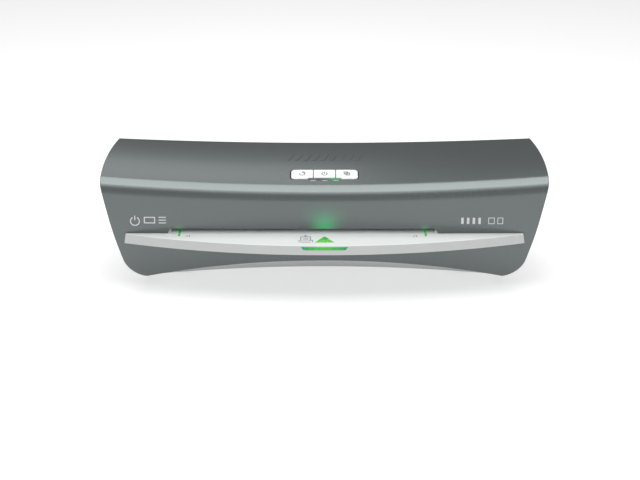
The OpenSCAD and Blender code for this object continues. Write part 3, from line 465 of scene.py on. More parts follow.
# What each maker is told after the name of the finish
MOULDED = {
    "button_plastic": ("button", 0.24, 900.0, 0.004, 0.4),
    "light_grey_plastic": ("light_grey", 0.52, 2200.0, 0.03),
    "panel_plastic": ("panel", 0.50, 1800.0, 0.04),
    "dark_plastic": ((0.052, 0.057, 0.057), 0.45, 1800.0, 0.03),
    "print_light": ("print_light", 0.45, 2600.0, 0.004),
    "print_dark": ("print_dark", 0.5, 2600.0, 0.004),
    "dash_print": ((0.34, 0.37, 0.36), 0.5, 2600.0, 0.004),
    "rubber": ((0.022, 0.022, 0.023), 0.72, 1500.0, 0.06),
    "silicone": ((0.42, 0.085, 0.03), 0.55, 1300.0, 0.05),
    "gear_nylon": ((0.78, 0.75, 0.66), 0.46, 1500.0, 0.03),
    "bush_plastic": ((0.07, 0.055, 0.04), 0.5),
    "mica": ((0.42, 0.33, 0.18), 0.38, 700.0, 0.05),
    "ceramic": ((0.70, 0.67, 0.58), 0.6, 1200.0, 0.04),
    "switch_plastic": ((0.02, 0.02, 0.022), 0.4),
}
METALS = {
    "zinc_steel": ((0.56, 0.58, 0.61), 0.34, 1.0, 500.0),
    "bright_steel": ((0.66, 0.67, 0.69), 0.22, 0.05),
    "spring_steel": ((0.40, 0.41, 0.43), 0.28),
    "aluminium": ((0.72, 0.73, 0.74), 0.36, 0.08),
    "brass": ((0.70, 0.50, 0.20), 0.28, 0.1),
}
LENSES = {
    "arrow_glow": ((0.004, 0.19, 0.03), (0.10, 0.32, 0.05), 1, 54, 66, 0.85),
    "lip_glow": ((0.03, 0.28, 0.02), (0.006, 0.155, 0.06), 0, 3, 19, 0.85),
    "tick_glow": ((0.008, 0.22, 0.06), (0.06, 0.29, 0.03), 1, 36, 51, 0.8),
    "lamp_glow": ((0.0, 0.3, 0.06), (0.03, 0.5, 0.12), 0, 0, 12, 1.2),
}
SINGLE = {make.__name__: make for make in (
    cover_paint, tray_plastic, guide_plastic, smoke_lens, circuit_board, wire_insulation)}
FINISHES = {}


def finish(name):
    """The finish of that name, made when it is first asked for."""
    if name in SINGLE and name not in FINISHES:
        FINISHES[name] = SINGLE[name]()
    for make, table in (moulded, MOULDED), (metal, METALS), (lit_lens, LENSES):
        if name in table and name not in FINISHES:
            FINISHES[name] = make(name, *table[name])
    return FINISHES[name]


# ---- Meshes ----

def at(*axes):
    """Points from their coordinates, each an array, or one number for all of them."""
    return np.stack(np.broadcast_arrays(*axes), -1)


def by_row(values, like):
    """One value a row, shaped to join an array that has one axis or two."""
    return values.reshape(-1, *[1] * (np.ndim(like) - 1))


def spread(counts):
    """Places along a line in key units: counts[j] steps from key j to key j + 1."""
    steps = [j + np.arange(count) / count for j, count in enumerate(counts)]
    return np.concatenate([*steps, [len(counts)]])


def hat_weights(places):
    """Weight of each key at each place: 1 at the key, falling to 0 at the next ones."""
    keys = np.arange(round(places[-1]) + 1)
    return np.maximum(0, 1 - abs(places[:, None] - keys))


def kept_cells(rows, cols, holes):
    """One flag per cell. A hole is (first row key, last row key, first col key, last)."""
    row, col = (rows[:-1] + rows[1:]) / 2, (cols[:-1] + cols[1:]) / 2
    keep = np.ones((len(row), len(col)), bool)
    for r0, r1, c0, c1 in holes:
        keep &= ~(((row > r0) & (row < r1))[:, None] & ((col > c0) & (col < c1)))
    return keep


def grid_normals(points):
    """Unit normals of a grid: the cross product of its two directions."""
    normal = np.cross(np.gradient(points, axis=0), np.gradient(points, axis=1))
    return normal / np.linalg.norm(normal, axis=2, keepdims=True)


def thick_sheet(points, wall, keep=None):
    """Closed shell on a grid of points: the outer sheet, the same sheet moved in by the wall
    against its normals, and a rim along every side where a kept cell has no neighbour."""
    if keep is None:
        keep = np.ones((points.shape[0] - 1, points.shape[1] - 1), bool)
    inner = points - wall * grid_normals(points)
    index = np.arange(points.shape[0] * points.shape[1]).reshape(points.shape[:2])
    a, b, c, d = index[:-1, :-1], index[:-1, 1:], index[1:, 1:], index[1:, :-1]
    around = np.pad(keep, 1)
    rims = [(~around[:-2, 1:-1], a, b), (~around[1:-1, :-2], d, a),
            (~around[2:, 1:-1], c, d), (~around[1:-1, 2:], b, c)]
    quads = [np.stack([a, d, c, b], -1)[keep],
             np.stack([b, c, d, a], -1)[keep] + index.size]
    for open_side, p, q in rims:
        quads.append(np.stack([p, q, q + index.size, p + index.size], -1)[keep & open_side])
    quads = np.concatenate(quads)
    used, faces = np.unique(quads, return_inverse=True)
    both = np.concatenate([points.reshape(-1, 3), inner.reshape(-1, 3)])
    return both[used], faces.reshape(-1, 4).tolist()


def swept(path, side, up, outline):
    """Closed solid: each point is path + a * side + b * up for every (a, b) of an outline that
    runs anticlockwise. Both ends are filled."""
    side, up = (np.broadcast_to(way, path.shape)[:, None] for way in (side, up))
    rings = path[:, None] + outline[..., :1] * side + outline[..., 1:] * up
    index = np.arange(rings.shape[0] * rings.shape[1]).reshape(rings.shape[:2])
    here, ahead = index[:-1], index[1:]
    quads = np.stack([here, np.roll(here, -1, 1), np.roll(ahead, -1, 1), ahead], -1)
    ends = [index[0, ::-1].tolist(), index[-1].tolist()]
    return rings.reshape(-1, 3), quads.reshape(-1, 4).tolist() + ends


def stroke(path, normal, width, low, high):
    """Flat line of a width on a surface: a rectangle from low to high above the path, carried
    along it. The width is one number or one for each point."""
    side = np.cross(normal, np.gradient(path, axis=0))
    side /= np.linalg.norm(side, axis=1, keepdims=True)
    half = np.broadcast_to(np.divide(width, 2), (len(path),))[:, None]
    return swept(path, side, normal, at(half * [-1, 1, 1, -1], [low, low, high, high]))


def linked(name, data):
    """A new object of the data, in the scene."""
    made = bpy.data.objects.new(name, data)
    bpy.context.scene.collection.objects.link(made)
    return made


def aimed(made, place, target):
    """Puts a light or camera at a place, facing a target."""
    made.location = place
    made.rotation_euler = (Vector(target) - Vector(place)).to_track_quat("-Z", "Y").to_euler()


def piece(name, parts, look, stands_for=(), bevel=0.0, body="housing", segments=2):
    """A new piece made of closed parts, with its finish, its body and its edges rounded."""
    starts = np.cumsum([0] + [len(points) for points, _ in parts])
    points = np.concatenate([points for points, _ in parts])
    faces = [[int(start) + i for i in face]
             for start, (_, group) in zip(starts, parts) for face in group]
    mesh = bpy.data.meshes.new(name)
    mesh.from_pydata(points.tolist(), [], faces)
    if mesh.validate():
        raise RuntimeError(f"{name} has faces that Blender can't keep")
    mesh.shade_smooth()
    mesh.materials.append(finish(look))
    made = linked(name, mesh)
    if bevel:
        rounded = made.modifiers.new("rounded_edges", "BEVEL")
        rounded.width, rounded.segments = bevel, segments
        rounded.limit_method, rounded.angle_limit = "ANGLE", math.radians(38)
        rounded.harden_normals, rounded.use_clamp_overlap = True, False
    else:
        mesh.set_sharp_from_angle(angle=math.radians(38))
    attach(made, body)
    if stands_for:
        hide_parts(*stands_for)
    return made


# ---- Shape of the cover ----

def saddle(size, x):
    """Rise of the whole cover: a parabola from its middle to its ends."""
    return size.saddle * (x / size.half_width) ** 2


def back_line(size, x):
    """Back edge in plan: a parabola that bows back at the middle."""
    return size.back_mid - size.back_bow * (x / (size.half_width - size.back_taper)) ** 2


def side_line(size, z):
    """Half width at a height of the profile: it narrows from the ridge down, first in
    proportion to the drop and then with its square."""
    drop = np.maximum(0, size.bend_height + 9.4 * MM - z)
    return size.half_width - size.side_taper * drop - size.side_curve * drop ** 2


def crease(size):
    """Y and Z of the line where the crowned top meets the bend."""
    return (size.front + size.bend_radius * (1 - math.sin(size.bend_slope)),
            size.bend_height + size.bend_radius * math.cos(size.bend_slope))


def crown(size, y):
    """Height of the top: an arc of the crown radius that leaves the bend at its slope."""
    y0, z0 = crease(size)
    middle_y = y0 + size.crown_radius * math.sin(size.bend_slope)
    middle_z = z0 - size.crown_radius * math.cos(size.bend_slope)
    return middle_z + np.sqrt(size.crown_radius ** 2 - (middle_y - y) ** 2)


def front_line(size, z):
    """Y of the front face at a height of the profile: upright, then an arc that leans back,
    then straight at the undercut's angle."""
    drop = np.maximum(0, size.under_height - z)
    lean = np.minimum(np.arcsin(np.minimum(1, drop / size.under_radius)), size.under_angle)
    below = np.maximum(0, drop - size.under_radius * math.sin(size.under_angle))
    return (size.front + size.under_radius * (1 - np.cos(lean))
            + below * math.tan(size.under_angle))


def settled(start, step, rounds=12):
    """The value that a formula keeps unchanged, found by repeating it."""
    value = start
    for _ in range(rounds):
        value = step(value)
    return value


def rounded_corners(u, v, half_u, half_v, radius):
    """Moves points of a plane so that a rectangle gets round corners: in each outer quarter of
    a corner the square rings round its centre turn into circles, and the move fades out."""
    a, b = abs(u) - (half_u - radius), abs(v) - (half_v - radius)
    ring, far = np.maximum(a, b), np.hypot(a, b)
    inside = (a > 0) & (b > 0)
    far = np.where(inside, far, 1.0)
    fade = np.clip((2.2 * radius - ring) / (1.2 * radius), 0, 1)
    pull = np.where(inside, (ring / far - 1) * np.minimum(1, radius / np.maximum(ring, 1e-9))
                    * fade, 0)
    return u + np.sign(u) * a * pull, v + np.sign(v) * b * pull


def on_deck(size, u, v, w):
    """Points of the sloping deck: u across, v up the slope, w square to it."""
    rise, run = math.sin(size.slope), math.cos(size.slope)
    return at(u, size.deck_y + v * run - w * rise, size.deck_z + v * rise + w * run)


def deck_normal(size):
    """The way that the sloping deck faces."""
    return 0, -math.sin(size.slope), math.cos(size.slope)


OPENING_GAP = 0.9 * MM


def cover_front(x, z):
    """Points of the front face at places across and heights above the table."""
    size = settings("cover")
    return at(x, front_line(size, z - saddle(size, x)), z)


def cover_top(x, y):
    """Points of the crowned top at places in plan."""
    size = settings("cover")
    return at(x, y, crown(size, y) + saddle(size, x))


def cover_grid():
    """Grid of the cover's outer face and its kept cells. Rows run from the back edge over the
    top, round the bend, down the front face and under it; columns run across. Key rows and
    columns lie on the edges of the openings, so that each opening is a block of cells."""
    size, slot, deck = settings("cover"), settings("slot"), settings("buttons")
    strip_half = 1.5 * deck.width + deck.gap + OPENING_GAP
    strip_deep = deck.depth / 2 + OPENING_GAP
    radius = deck.corner + OPENING_GAP
    window = slot.tray_half + 0.3 * MM
    window_low = slot.tray_top - slot.lip - 0.3 * MM
    window_top = slot.tray_top + 0.1 * MM
    cols = spread([9, 11, 26, 6, 18, 6, 17, 19, 9])
    weights = hat_weights(cols)

    def across(end, ramp=0.0, shrink=1.0):
        """X of every column on every row from the row's end and its key columns."""
        left = slot.slot_middle - slot.slot_half - ramp * slot.slot_ramp
        right = slot.slot_middle + slot.slot_half + ramp * slot.slot_ramp
        return at(-end, -window * shrink, left * shrink, -strip_half, radius - strip_half,
                  strip_half - radius, strip_half, right * shrink, window * shrink,
                  end) @ weights.T

    # Top: rows first share the way from the curved back edge, then keep one Y each
    level = crease(size)[0]
    deck_lines = [strip_deep, strip_deep - radius, radius - strip_deep, -strip_deep]
    lines = [deck.deck_y + v * math.cos(deck.slope) for v in deck_lines] + [level]
    top_rows = spread([14, 6, 5, 6, 4])
    share = np.minimum(top_rows, 1)
    line = hat_weights(top_rows)[:, 1:] @ np.array(lines) / share.clip(1e-9)

    def top_y(x):
        return back_line(size, x) * by_row(1 - share, x) + by_row(line * share, x)

    def top_end(end):
        behind = (top_y(end) - level) / (back_line(size, end) - level)
        return size.half_width - size.back_taper * behind ** 2

    x = across(settled(np.full(len(top_rows), size.half_width), top_end))
    y = top_y(x)
    v = (y - deck.deck_y) / math.cos(deck.slope)
    x, v = rounded_corners(x, v, strip_half, strip_deep, radius)
    y = deck.deck_y + v * math.cos(deck.slope)
    grids = [cover_top(x, y)]

    # Bend
    turn = np.linspace(size.bend_slope, math.pi / 2, 17)[1:]
    height = size.bend_height + size.bend_radius * np.cos(turn)
    x = across(side_line(size, height))
    y = size.front + size.bend_radius * (1 - np.sin(turn))
    grids.append(at(x, y[:, None], height[:, None] + saddle(size, x)))

    # Front face down to the tray window: the rows straighten out towards the slot
    face = spread([10, 3, 1, 5])[1:]
    flat = hat_weights(spread([10, 3, 1, 5]))[1:, 1:] @ np.array(
        [slot.slot_top, slot.slot_top - 3.5 * MM, window_top, window_low])
    part = np.minimum(face, 1)

    def face_z(x):
        return (size.bend_height + saddle(size, x)) * by_row(1 - part, x) + by_row(flat, x)

    def face_end(end):
        return side_line(size, face_z(end) - saddle(size, end))

    end = settled(np.full(len(face), size.half_width), face_end)
    x = across(end, np.clip(face - 1, 0, 1))
    grids.append(cover_front(x, face_z(x)))

    # Undercut down to the lower edge, with rounded corners
    down = 1 - (1 - np.linspace(0, 1, 23)[1:]) ** 1.6
    start = window_low - saddle(size, end[-1])
    height = start + (size.edge_end - start) * down
    into = np.maximum(0, 1 - (height - size.edge_end) / size.corner)
    low_end = side_line(size, height) - size.corner * (1 - np.sqrt(1 - into ** 2))
    x = across(low_end, np.ones_like(down), np.minimum(1, low_end / end[-1]))
    along = abs(x) / low_end[:, None]
    edge = (size.edge_mid + (size.edge_end - size.edge_mid) * along ** 2
            + saddle(size, along * low_end[-1]))
    z = window_low + (edge - window_low) * down[:, None]
    miss = height + saddle(size, low_end) - (window_low + (edge[:, -1] - window_low) * down)
    z = z + miss[:, None] * along ** 4
    grids.append(cover_front(x, z))

    rows = np.concatenate([top_rows, 5 + np.arange(1, 17) / 16, 6 + face,
                           10 + np.arange(1, 23) / 22])
    holes = [(1, 4, 3, 6), (7, 9, 2, 7), (9, 10, 1, 8)]  # buttons, slot, tray
    return np.concatenate(grids), kept_cells(rows, cols, holes)


class LAMINATOR_OT_top_cover(bpy.types.Operator):
    """Build the saddle-shaped cover with its openings and the raised bars on its top"""
    bl_idname = "laminator.top_cover"
    bl_label = "Top cover"

    def execute(self, context):
        points, keep = cover_grid()
        piece("cover_shell", [thick_sheet(points, settings("cover").wall, keep)],
              "cover_paint", ["top_cover"], 0.45 * MM)
        along, slope = np.linspace(-1, 1, 7), math.radians(12)
        bars = [stroke(cover_top(middle + along * 2.2 * MM, 7 * MM + along * 5.2 * MM),
                       (0, -math.sin(slope), math.cos(slope)), 3.6 * MM, -0.4 * MM, 0.35 * MM)
                for middle in np.linspace(-31 * MM, 31 * MM, 9)]
        piece("cover_bars", bars, "cover_paint", (), 0.15 * MM)
        return {"FINISHED"}


# ---- Tray ----

def tray_front_line(x):
    """Front edge of the tray in plan: an arc through its most forward point and its ends."""
    size = settings("slot")
    sag = size.tray_end - size.tray_front
    radius = (size.tray_half ** 2 + sag ** 2) / (2 * sag)
    return size.tray_front + radius - np.sqrt(radius ** 2 - x ** 2)


class LAMINATOR_OT_feed_tray(bpy.types.Operator):
    """Build the crescent feed tray, with a lip that leans out at its ends, and its lit bar"""
    bl_idname = "laminator.feed_tray"
    bl_label = "Feed tray"

    def execute(self, context):
        size = settings("slot")
        low, top, back = size.tray_top - size.lip, size.tray_top, size.tray_back
        end_wall = np.array([3.4, 1.8, 0]) * MM
        inner = size.tray_half - end_wall
        x = np.sort(np.concatenate([-inner, np.linspace(-inner[0], inner[0], 97)[1:-1], inner]))
        front, wall = tray_front_line(x), size.tray_wall
        under = np.where(abs(x) > inner[0] + 1 * MM, low, top - wall)
        outline = at(at(front, front + wall, front + wall + 0.3 * MM, back, back, front),
                     at(low, low, under, under, top, top))
        points, faces = swept(at(x, 0, 0), (0, 1, 0), (0, 0, 1), outline)
        points[:, 0] *= 1 + size.lip_flare / size.tray_half * (top - points[:, 2]) / size.lip
        parts = [(points, faces)]

        def bar(x, y0, y1, width, bottom, top):
            """A straight bar that runs back under the tray."""
            parts.append(stroke(at(x, np.array([y0, y1]), 0), (0, 0, 1), width, bottom, top))

        ribs, hooks = np.arange(-120, 121, 40) * MM, np.array([-150, -60, 60, 140]) * MM
        for x in ribs:
            bar(x, tray_front_line(x) + wall, back - 0.4 * MM, 1.6 * MM, low + 0.5 * MM,
                top - wall)
        for x in hooks:
            bar(x, back - 0.5 * MM, back + 5.6 * MM, 26 * MM, low, low + 2.2 * MM)
            bar(x, back + 3.6 * MM, back + 5.6 * MM, 26 * MM, low - 3.5 * MM, low + 0.1 * MM)
        piece("tray_shell", parts, "tray_plastic", ["feed_tray"], 0.3 * MM,
              segments=3)
        down = np.array([0, 1])[:, None]
        x = np.linspace(-1, 1, 25) * (20.4 - 2.2 * down) * MM
        lit = at(x, tray_front_line(x) - 0.15 * MM, top - (1 + 2.8 * down) * MM)
        piece("lip_bar", [thick_sheet(lit, 0.6 * MM)], "lip_glow", ["lip_lens"])
        return {"FINISHED"}


# ---- Rear cover and base ----

def rear_grid():
    """Grid of the rear cover and its kept cells. Each column is a curve with one control
    point, from the cover's back edge to the lower edge; rows straighten out towards the exit
    slot, the vents and the cord's hole, which are blocks of cells."""
    size, cover, slot = settings("rear"), settings("cover"), settings("slot")
    vents = [side * 60 * MM + (i - 3.5) * 9 * MM for side in (-1, 1) for i in range(8)]
    edges = sorted(v + s * size.vent / 2 for v in vents for s in (-1, 1))
    left, right = slot.slot_middle - slot.slot_half, slot.slot_middle + slot.slot_half
    cord_left, cord_right = 137 * MM, 147 * MM
    keys = [left, *edges, right, cord_left, cord_right]
    cols = spread([10] + [8] + [1, 2] * 7 + [1, 10] + [1, 2] * 7 + [1, 1] + [8, 2, 10])
    rows = spread([16, 3, 5, 2, 5, 1, 4])
    slot_top, slot_low, vent_top, cord_top, cord_low, vent_low = (
        height * MM for height in (60.2, 55.2, 46, 43, 33, 32))
    level = [slot_top, slot_low, vent_top, cord_top, cord_low, vent_low, size.low]
    part = np.minimum(rows, 1)
    flat = hat_weights(rows)[:, 1:] @ np.array(level)
    corner = cover.half_width - cover.back_taper

    def curve_keys(x):
        """Y and Z of the curve's start and control point at a place across."""
        start_y = back_line(cover, x)
        start_z = crown(cover, start_y) + saddle(cover, x) - 0.3 * MM
        return start_y + 0.5 * MM, start_z, size.shoulder + 0.6 * saddle(cover, x)

    top = curve_keys(corner)[1]
    end_z = top * (1 - part) + flat
    end = corner + (size.foot_width - corner) * (top - end_z) / (top - size.low)
    x = at(-end, *keys, end) @ hat_weights(cols).T
    y0, z0, z1 = curve_keys(x)
    z = z0 * (1 - part[:, None]) + flat[:, None]
    a, b, c = z0 - 2 * z1 + size.low, 2 * (z1 - z0), z0 - z
    k = (-b - np.sqrt(b * b - 4 * a * c)) / (2 * a)
    y = y0 * (1 - k) ** 2 + 2 * (size.back - 0.5 * MM) * k * (1 - k) + size.back * k ** 2
    holes = [(1, 2, 1, 2 + len(edges))]
    holes += [(3, 6, 2 + 2 * i, 3 + 2 * i) for i in range(len(vents))]
    holes += [(4, 5, 3 + len(edges), 4 + len(edges))]
    # Columns run the other way seen from behind, so that the faces point outwards
    return at(x, y, z)[:, ::-1], kept_cells(rows, cols, holes)[:, ::-1]


class LAMINATOR_OT_rear_cover(bpy.types.Operator):
    """Build the curved rear cover with its exit slot, vents and cord hole"""
    bl_idname = "laminator.rear_cover"
    bl_label = "Rear cover"

    def execute(self, context):
        points, keep = rear_grid()
        piece("rear_shell", [thick_sheet(points, settings("rear").wall, keep)],
              "light_grey_plastic", ["rear_cover"], 0.35 * MM)
        return {"FINISHED"}


def base_parts():
    """The base: a floor grid with a row of vents, and a wall that climbs from the floor's
    border. Each wall line is a curve with one control point above its foot, up to the cover's
    lower edge in front, the side panels' feet at the sides and the rear cover behind."""
    size, cover = settings("rear"), settings("cover")
    half, lift = size.floor_half, 14 * MM

    def floor_front(x):
        """Front edge of the floor in plan: a parabola."""
        return 8.5 * MM - 17.5 * MM * (x / (150 * MM)) ** 2

    vents = np.arange(-6, 7) * 12 * MM
    edges = np.sort(np.concatenate([vents - size.vent / 2, vents + size.vent / 2]))
    cols = spread([24] + [1, 3] * 12 + [1] + [24])
    rows = spread([10, 6, 6])
    x = hat_weights(cols) @ np.concatenate([[-half], edges, [half]])
    weights = hat_weights(rows)
    y = (weights[:, :1] * floor_front(x)
         + weights[:, 1:] @ np.array([[24 * MM], [46 * MM], [size.floor_back]]))
    floor = at(x, y, size.floor)
    holes = [(1, 2, 1 + 2 * i, 2 + 2 * i) for i in range(len(vents))]
    keep = kept_cells(rows, cols, holes)
    slab = thick_sheet(floor, size.wall, keep)

    # Wall: four runs of feet and heads, joined into one ring that closes on itself
    s = np.linspace(-1, 1, 81)
    low_end = side_line(cover, cover.edge_end) - cover.corner
    edge_x = s * low_end
    edge_z = cover.edge_mid + (cover.edge_end - cover.edge_mid) * s ** 2
    inside = cover.wall + 0.3 * MM
    head_front = at(edge_x, front_line(cover, edge_z) + inside,
                    edge_z + saddle(cover, edge_x) + 1.2 * MM)
    foot_front = at(s * half, floor_front(s * half), size.floor)
    k = np.linspace(0, 1, 25)
    side_y = -20 * MM + (size.back - 4 * MM + 20 * MM) * k
    head_z = lift + 0.1 * (side_y + 20 * MM)
    lean = math.tan(math.radians(9.1))
    head_side = at(166.5 * MM + (head_z - lift) * lean, side_y, head_z)
    foot_side = at(half, -6 * MM + 70 * MM * k, size.floor)
    t = np.linspace(1, -1, 41)
    head_back = at(t * (head_side[-1, 0] - 2 * MM), size.back - 0.2 * MM, head_z[-1])
    foot_back = at(t * (half - 3 * MM), size.floor_back, size.floor)
    mirror = np.array([-1, 1, 1])
    head = np.concatenate([head_front, head_side, head_back, head_side[::-1] * mirror])
    foot = np.concatenate([foot_front, foot_side, foot_back, foot_side[::-1] * mirror])
    head, foot = np.vstack([head, head[:1]]), np.vstack([foot, foot[:1]])
    bend = foot * [1, 1, 0] + (foot * 0.45 + head * 0.55) * [0, 0, 1]
    u = np.linspace(1, 0, 15)[:, None, None]
    wall = head * u ** 2 + 2 * bend * u * (1 - u) + foot * (1 - u) ** 2
    return [slab, thick_sheet(wall, size.wall)]


class LAMINATOR_OT_base(bpy.types.Operator):
    """Build the base tub with its vented floor"""
    bl_idname = "laminator.base"
    bl_label = "Base"

    def execute(self, context):
        piece("base_tub", base_parts(), "light_grey_plastic", ["base"],
              0.3 * MM)
        return {"FINISHED"}


# ---- Buttons and indicator ----

BUTTONS = (("reverse_button", -1), ("power_button", 0), ("pouch_button", 1))


def cap_parts(number):
    """One button: a block of cells of the strip with its outer corners rounded and its front
    cut back for the indicator lens, thickened downwards, and a round stem."""
    size = settings("buttons")
    half_strip = 1.5 * size.width + size.gap
    middle = number * (size.width + size.gap)
    u = [middle - size.width / 2, middle + size.width / 2]
    for line in (-half_strip + size.corner, -size.notch, size.notch, half_strip - size.corner):
        if u[0] < line < u[-1]:
            u.insert(-1, line)
    deep = size.depth / 2
    v = [deep, deep - size.corner, size.corner - deep, size.notch_y, -deep]
    u = hat_weights(spread([8] * (len(u) - 1))) @ np.array(u)
    v = hat_weights(spread([7, 6, 4, 7])) @ np.array(v)
    cell_u, cell_v = (u[:-1] + u[1:]) / 2, (v[:-1] + v[1:]) / 2
    keep = ~((cell_v < size.notch_y)[:, None] & (abs(cell_u) < size.notch))
    u, v = rounded_corners(*np.meshgrid(u, v), half_strip, deep, size.corner)
    dome = size.proud - 0.12 * MM * ((u - middle) / (size.width / 2)) ** 2
    cap = thick_sheet(on_deck(size, u, v, dome), 3.7 * MM, keep)
    turn = np.linspace(0, 2 * math.pi, 24, endpoint=False)
    stem = on_deck(size, middle, 0, np.array([-5.8, -2.9]) * MM)
    uphill = (0, math.cos(size.slope), math.sin(size.slope))
    return [cap, swept(stem, (1, 0, 0), uphill, 1.7 * MM * at(np.cos(turn), np.sin(turn)))]


def deck_stroke(u, v, width):
    """Thin line printed on a button, from places across and up the slope, in millimetres."""
    size = settings("buttons")
    path = on_deck(size, np.multiply(u, MM), np.multiply(v, MM), size.proud)
    return stroke(path, deck_normal(size), np.multiply(width, MM), -0.16 * MM, 0.08 * MM)


def arc(middle, radius, start, end):
    """Points of a round arc in a plane, from a start to an end angle in degrees."""
    turn = np.radians(np.linspace(start, end, 40))
    return middle[0] + radius * np.cos(turn), middle[1] + radius * np.sin(turn)


def box_strokes(draw, low, high, width):
    """Four lines round a rectangle."""
    (x0, y0), (x1, y1) = low, high
    ends = [x0 - width / 2, x1 + width / 2]
    return [draw(ends, y0, width), draw(ends, y1, width),
            draw(x0, [y0, y1], width), draw(x1, [y0, y1], width)]


def button_marks(number):
    """Generic mark on a button: a turning arrow, a power sign, or two sheets."""
    size = settings("buttons")
    mid = number * (size.width + size.gap) / MM
    if number < 0:
        return [deck_stroke(*arc((mid, 0.9), 2.3, 165, 410), 0.9),
                deck_stroke([mid + 0.2, mid + 3.2], [3.4, 2.3], [2.6, 0.3])]
    if number == 0:
        return [deck_stroke(*arc((mid, 0.9), 2.3, 125, 415), 0.9),
                deck_stroke(mid, [0.7, 3.8], 0.9)]
    return [*box_strokes(deck_stroke, (mid - 2.4, 0.3), (mid + 0.6, 3.7), 0.9),
            *box_strokes(deck_stroke, (mid - 0.8, -1.3), (mid + 2.2, 2.1), 0.9)]


class LAMINATOR_OT_buttons(bpy.types.Operator):
    """Build the three buttons with their marks, each on its own moving body"""
    bl_idname = "laminator.buttons"
    bl_label = "Buttons"

    def execute(self, context):
        for name, number in BUTTONS:
            piece(name + "_cap", cap_parts(number), "button_plastic", [name],
                  0.3 * MM, name, 3)
            piece(name + "_mark", button_marks(number), "print_dark", body=name)
        return {"FINISHED"}


class LAMINATOR_OT_indicator(bpy.types.Operator):
    """Print three pale dashes on the cover, in front of the indicator lens"""
    bl_idname = "laminator.indicator"
    bl_label = "Indicator dashes"

    def execute(self, context):
        normal = deck_normal(settings("buttons"))
        dash, dash_y = np.array([-2.4, 2.4]) * MM, -29.6 * MM
        dashes = [stroke(cover_top(middle + dash, dash_y), normal, 1.2 * MM, -0.1 * MM,
                         0.05 * MM) for middle in np.array([-10, 0.2, 10]) * MM]
        piece("indicator_dashes", dashes, "dash_print")
        return {"FINISHED"}


# ---- Printed marks ----

def front_stroke(x, z, width):
    """Thin line printed on the front face, from places across and heights, in millimetres."""
    path = cover_front(np.multiply(x, MM), np.multiply(z, MM))
    return stroke(path, (0, -1, 0), np.multiply(width, MM), -0.2 * MM, 0.06 * MM)


def tray_stroke(x, y, width):
    """Thin line printed on the tray's top, from places in plan, in millimetres."""
    path = at(np.multiply(x, MM), np.multiply(y, MM), settings("slot").tray_top)
    return stroke(path, (0, 0, 1), np.multiply(width, MM), -0.2 * MM, 0.05 * MM)


class LAMINATOR_OT_marks(bpy.types.Operator):
    """Print the generic marks on the cover's front face and on the tray"""
    bl_idname = "laminator.marks"
    bl_label = "Printed marks"

    def execute(self, context):
        light = [front_stroke(*arc((-166.3, 67.2), 3.9, 120, 420), 0.9),
                 front_stroke(-166.3, [68.2, 72.4], 0.9),
                 *box_strokes(front_stroke, (-158, 65.6), (-149, 70.8), 0.9),
                 *[front_stroke([-145.5, -139], z, 0.9) for z in (65.6, 68.2, 70.8)],
                 *[front_stroke(x, [64.6, 70.4], 2.2) for x in (121, 126, 131, 136)],
                 *box_strokes(front_stroke, (144, 64.8), (149, 70.2), 0.6),
                 *box_strokes(front_stroke, (152, 64.8), (156.4, 70.2), 0.6)]
        piece("cover_marks", light, "print_light")
        dark = [*box_strokes(tray_stroke, (-20.6, -63), (-12.4, -52.5), 0.8),
                *[tray_stroke([-19, -14], y, 0.7) for y in (-55.6, -57.8, -60)],
                tray_stroke(-16.5, [-51.8, -48.6], [3.4, 0.2]),
                tray_stroke([-22.2, -22.2, -21, -12], [-61, -65, -66.4, -66.4], 0.7),
                tray_stroke([-11, -10.2], [-60, -65.6], 0.9)]
        for x in (-121.4, 77.6):
            dark += [tray_stroke([x, x + 2], [-53, -49.6], 0.7),
                     tray_stroke(x + 3.2, [-53, -49.6], 0.9)]
        piece("tray_marks", dark, "print_dark")
        return {"FINISHED"}


# ---- Finishes of the CAD nodes ----

OUTER_NODES = {
    "panel_plastic": "side_panel_left side_panel_right",
    "dark_plastic": "button_frame cord_gland exit_guide",
    "guide_plastic": "slot_guide",
    "smoke_lens": "indicator_lens",
    "arrow_glow": "arrow_lens",
    "tick_glow": "edge_lenses",
    "lamp_glow": "slot_light indicator_leds",
    "rubber": "rubber_feet",
    "bright_steel": "housing_screws",
}
INNER_NODES = {
    "circuit_board": "control_pcb main_pcb",
    "switch_plastic": "button_switches temperature_sensor",
    "zinc_steel": "frame_plate_left frame_plate_right motor_bracket frame_screws gear_motor",
    "bright_steel": "tie_rods front_lower_shaft front_upper_shaft rear_lower_shaft "
                    "rear_upper_shaft idler_stud motor_shaft",
    "silicone": "front_lower_sleeve front_upper_sleeve rear_lower_sleeve rear_upper_sleeve",
    "gear_nylon": "front_lower_gear front_upper_gear rear_lower_gear rear_upper_gear "
                  "idler_gear",
    "bush_plastic": "lower_bushes front_bearing_blocks rear_bearing_blocks",
    "spring_steel": "front_pressure_springs rear_pressure_springs",
    "brass": "motor_standoffs drive_pinion",
    "aluminium": "upper_heating_plate lower_heating_plate heat_shields",
    "mica": "heating_elements",
    "ceramic": "thermal_cutouts",
    "wire_insulation": "wiring_harness",
}


def paint_nodes(table):
    """Puts each finish on its CAD nodes."""
    for look, names in table.items():
        for name in names.split():
            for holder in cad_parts[name].material_slots:
                holder.material = finish(look)


class LAMINATOR_OT_outer_nodes(bpy.types.Operator):
    """Give the CAD parts that show outside their finishes"""
    bl_idname = "laminator.outer_nodes"
    bl_label = "Outer fittings"

    def execute(self, context):
        paint_nodes(OUTER_NODES)
        return {"FINISHED"}


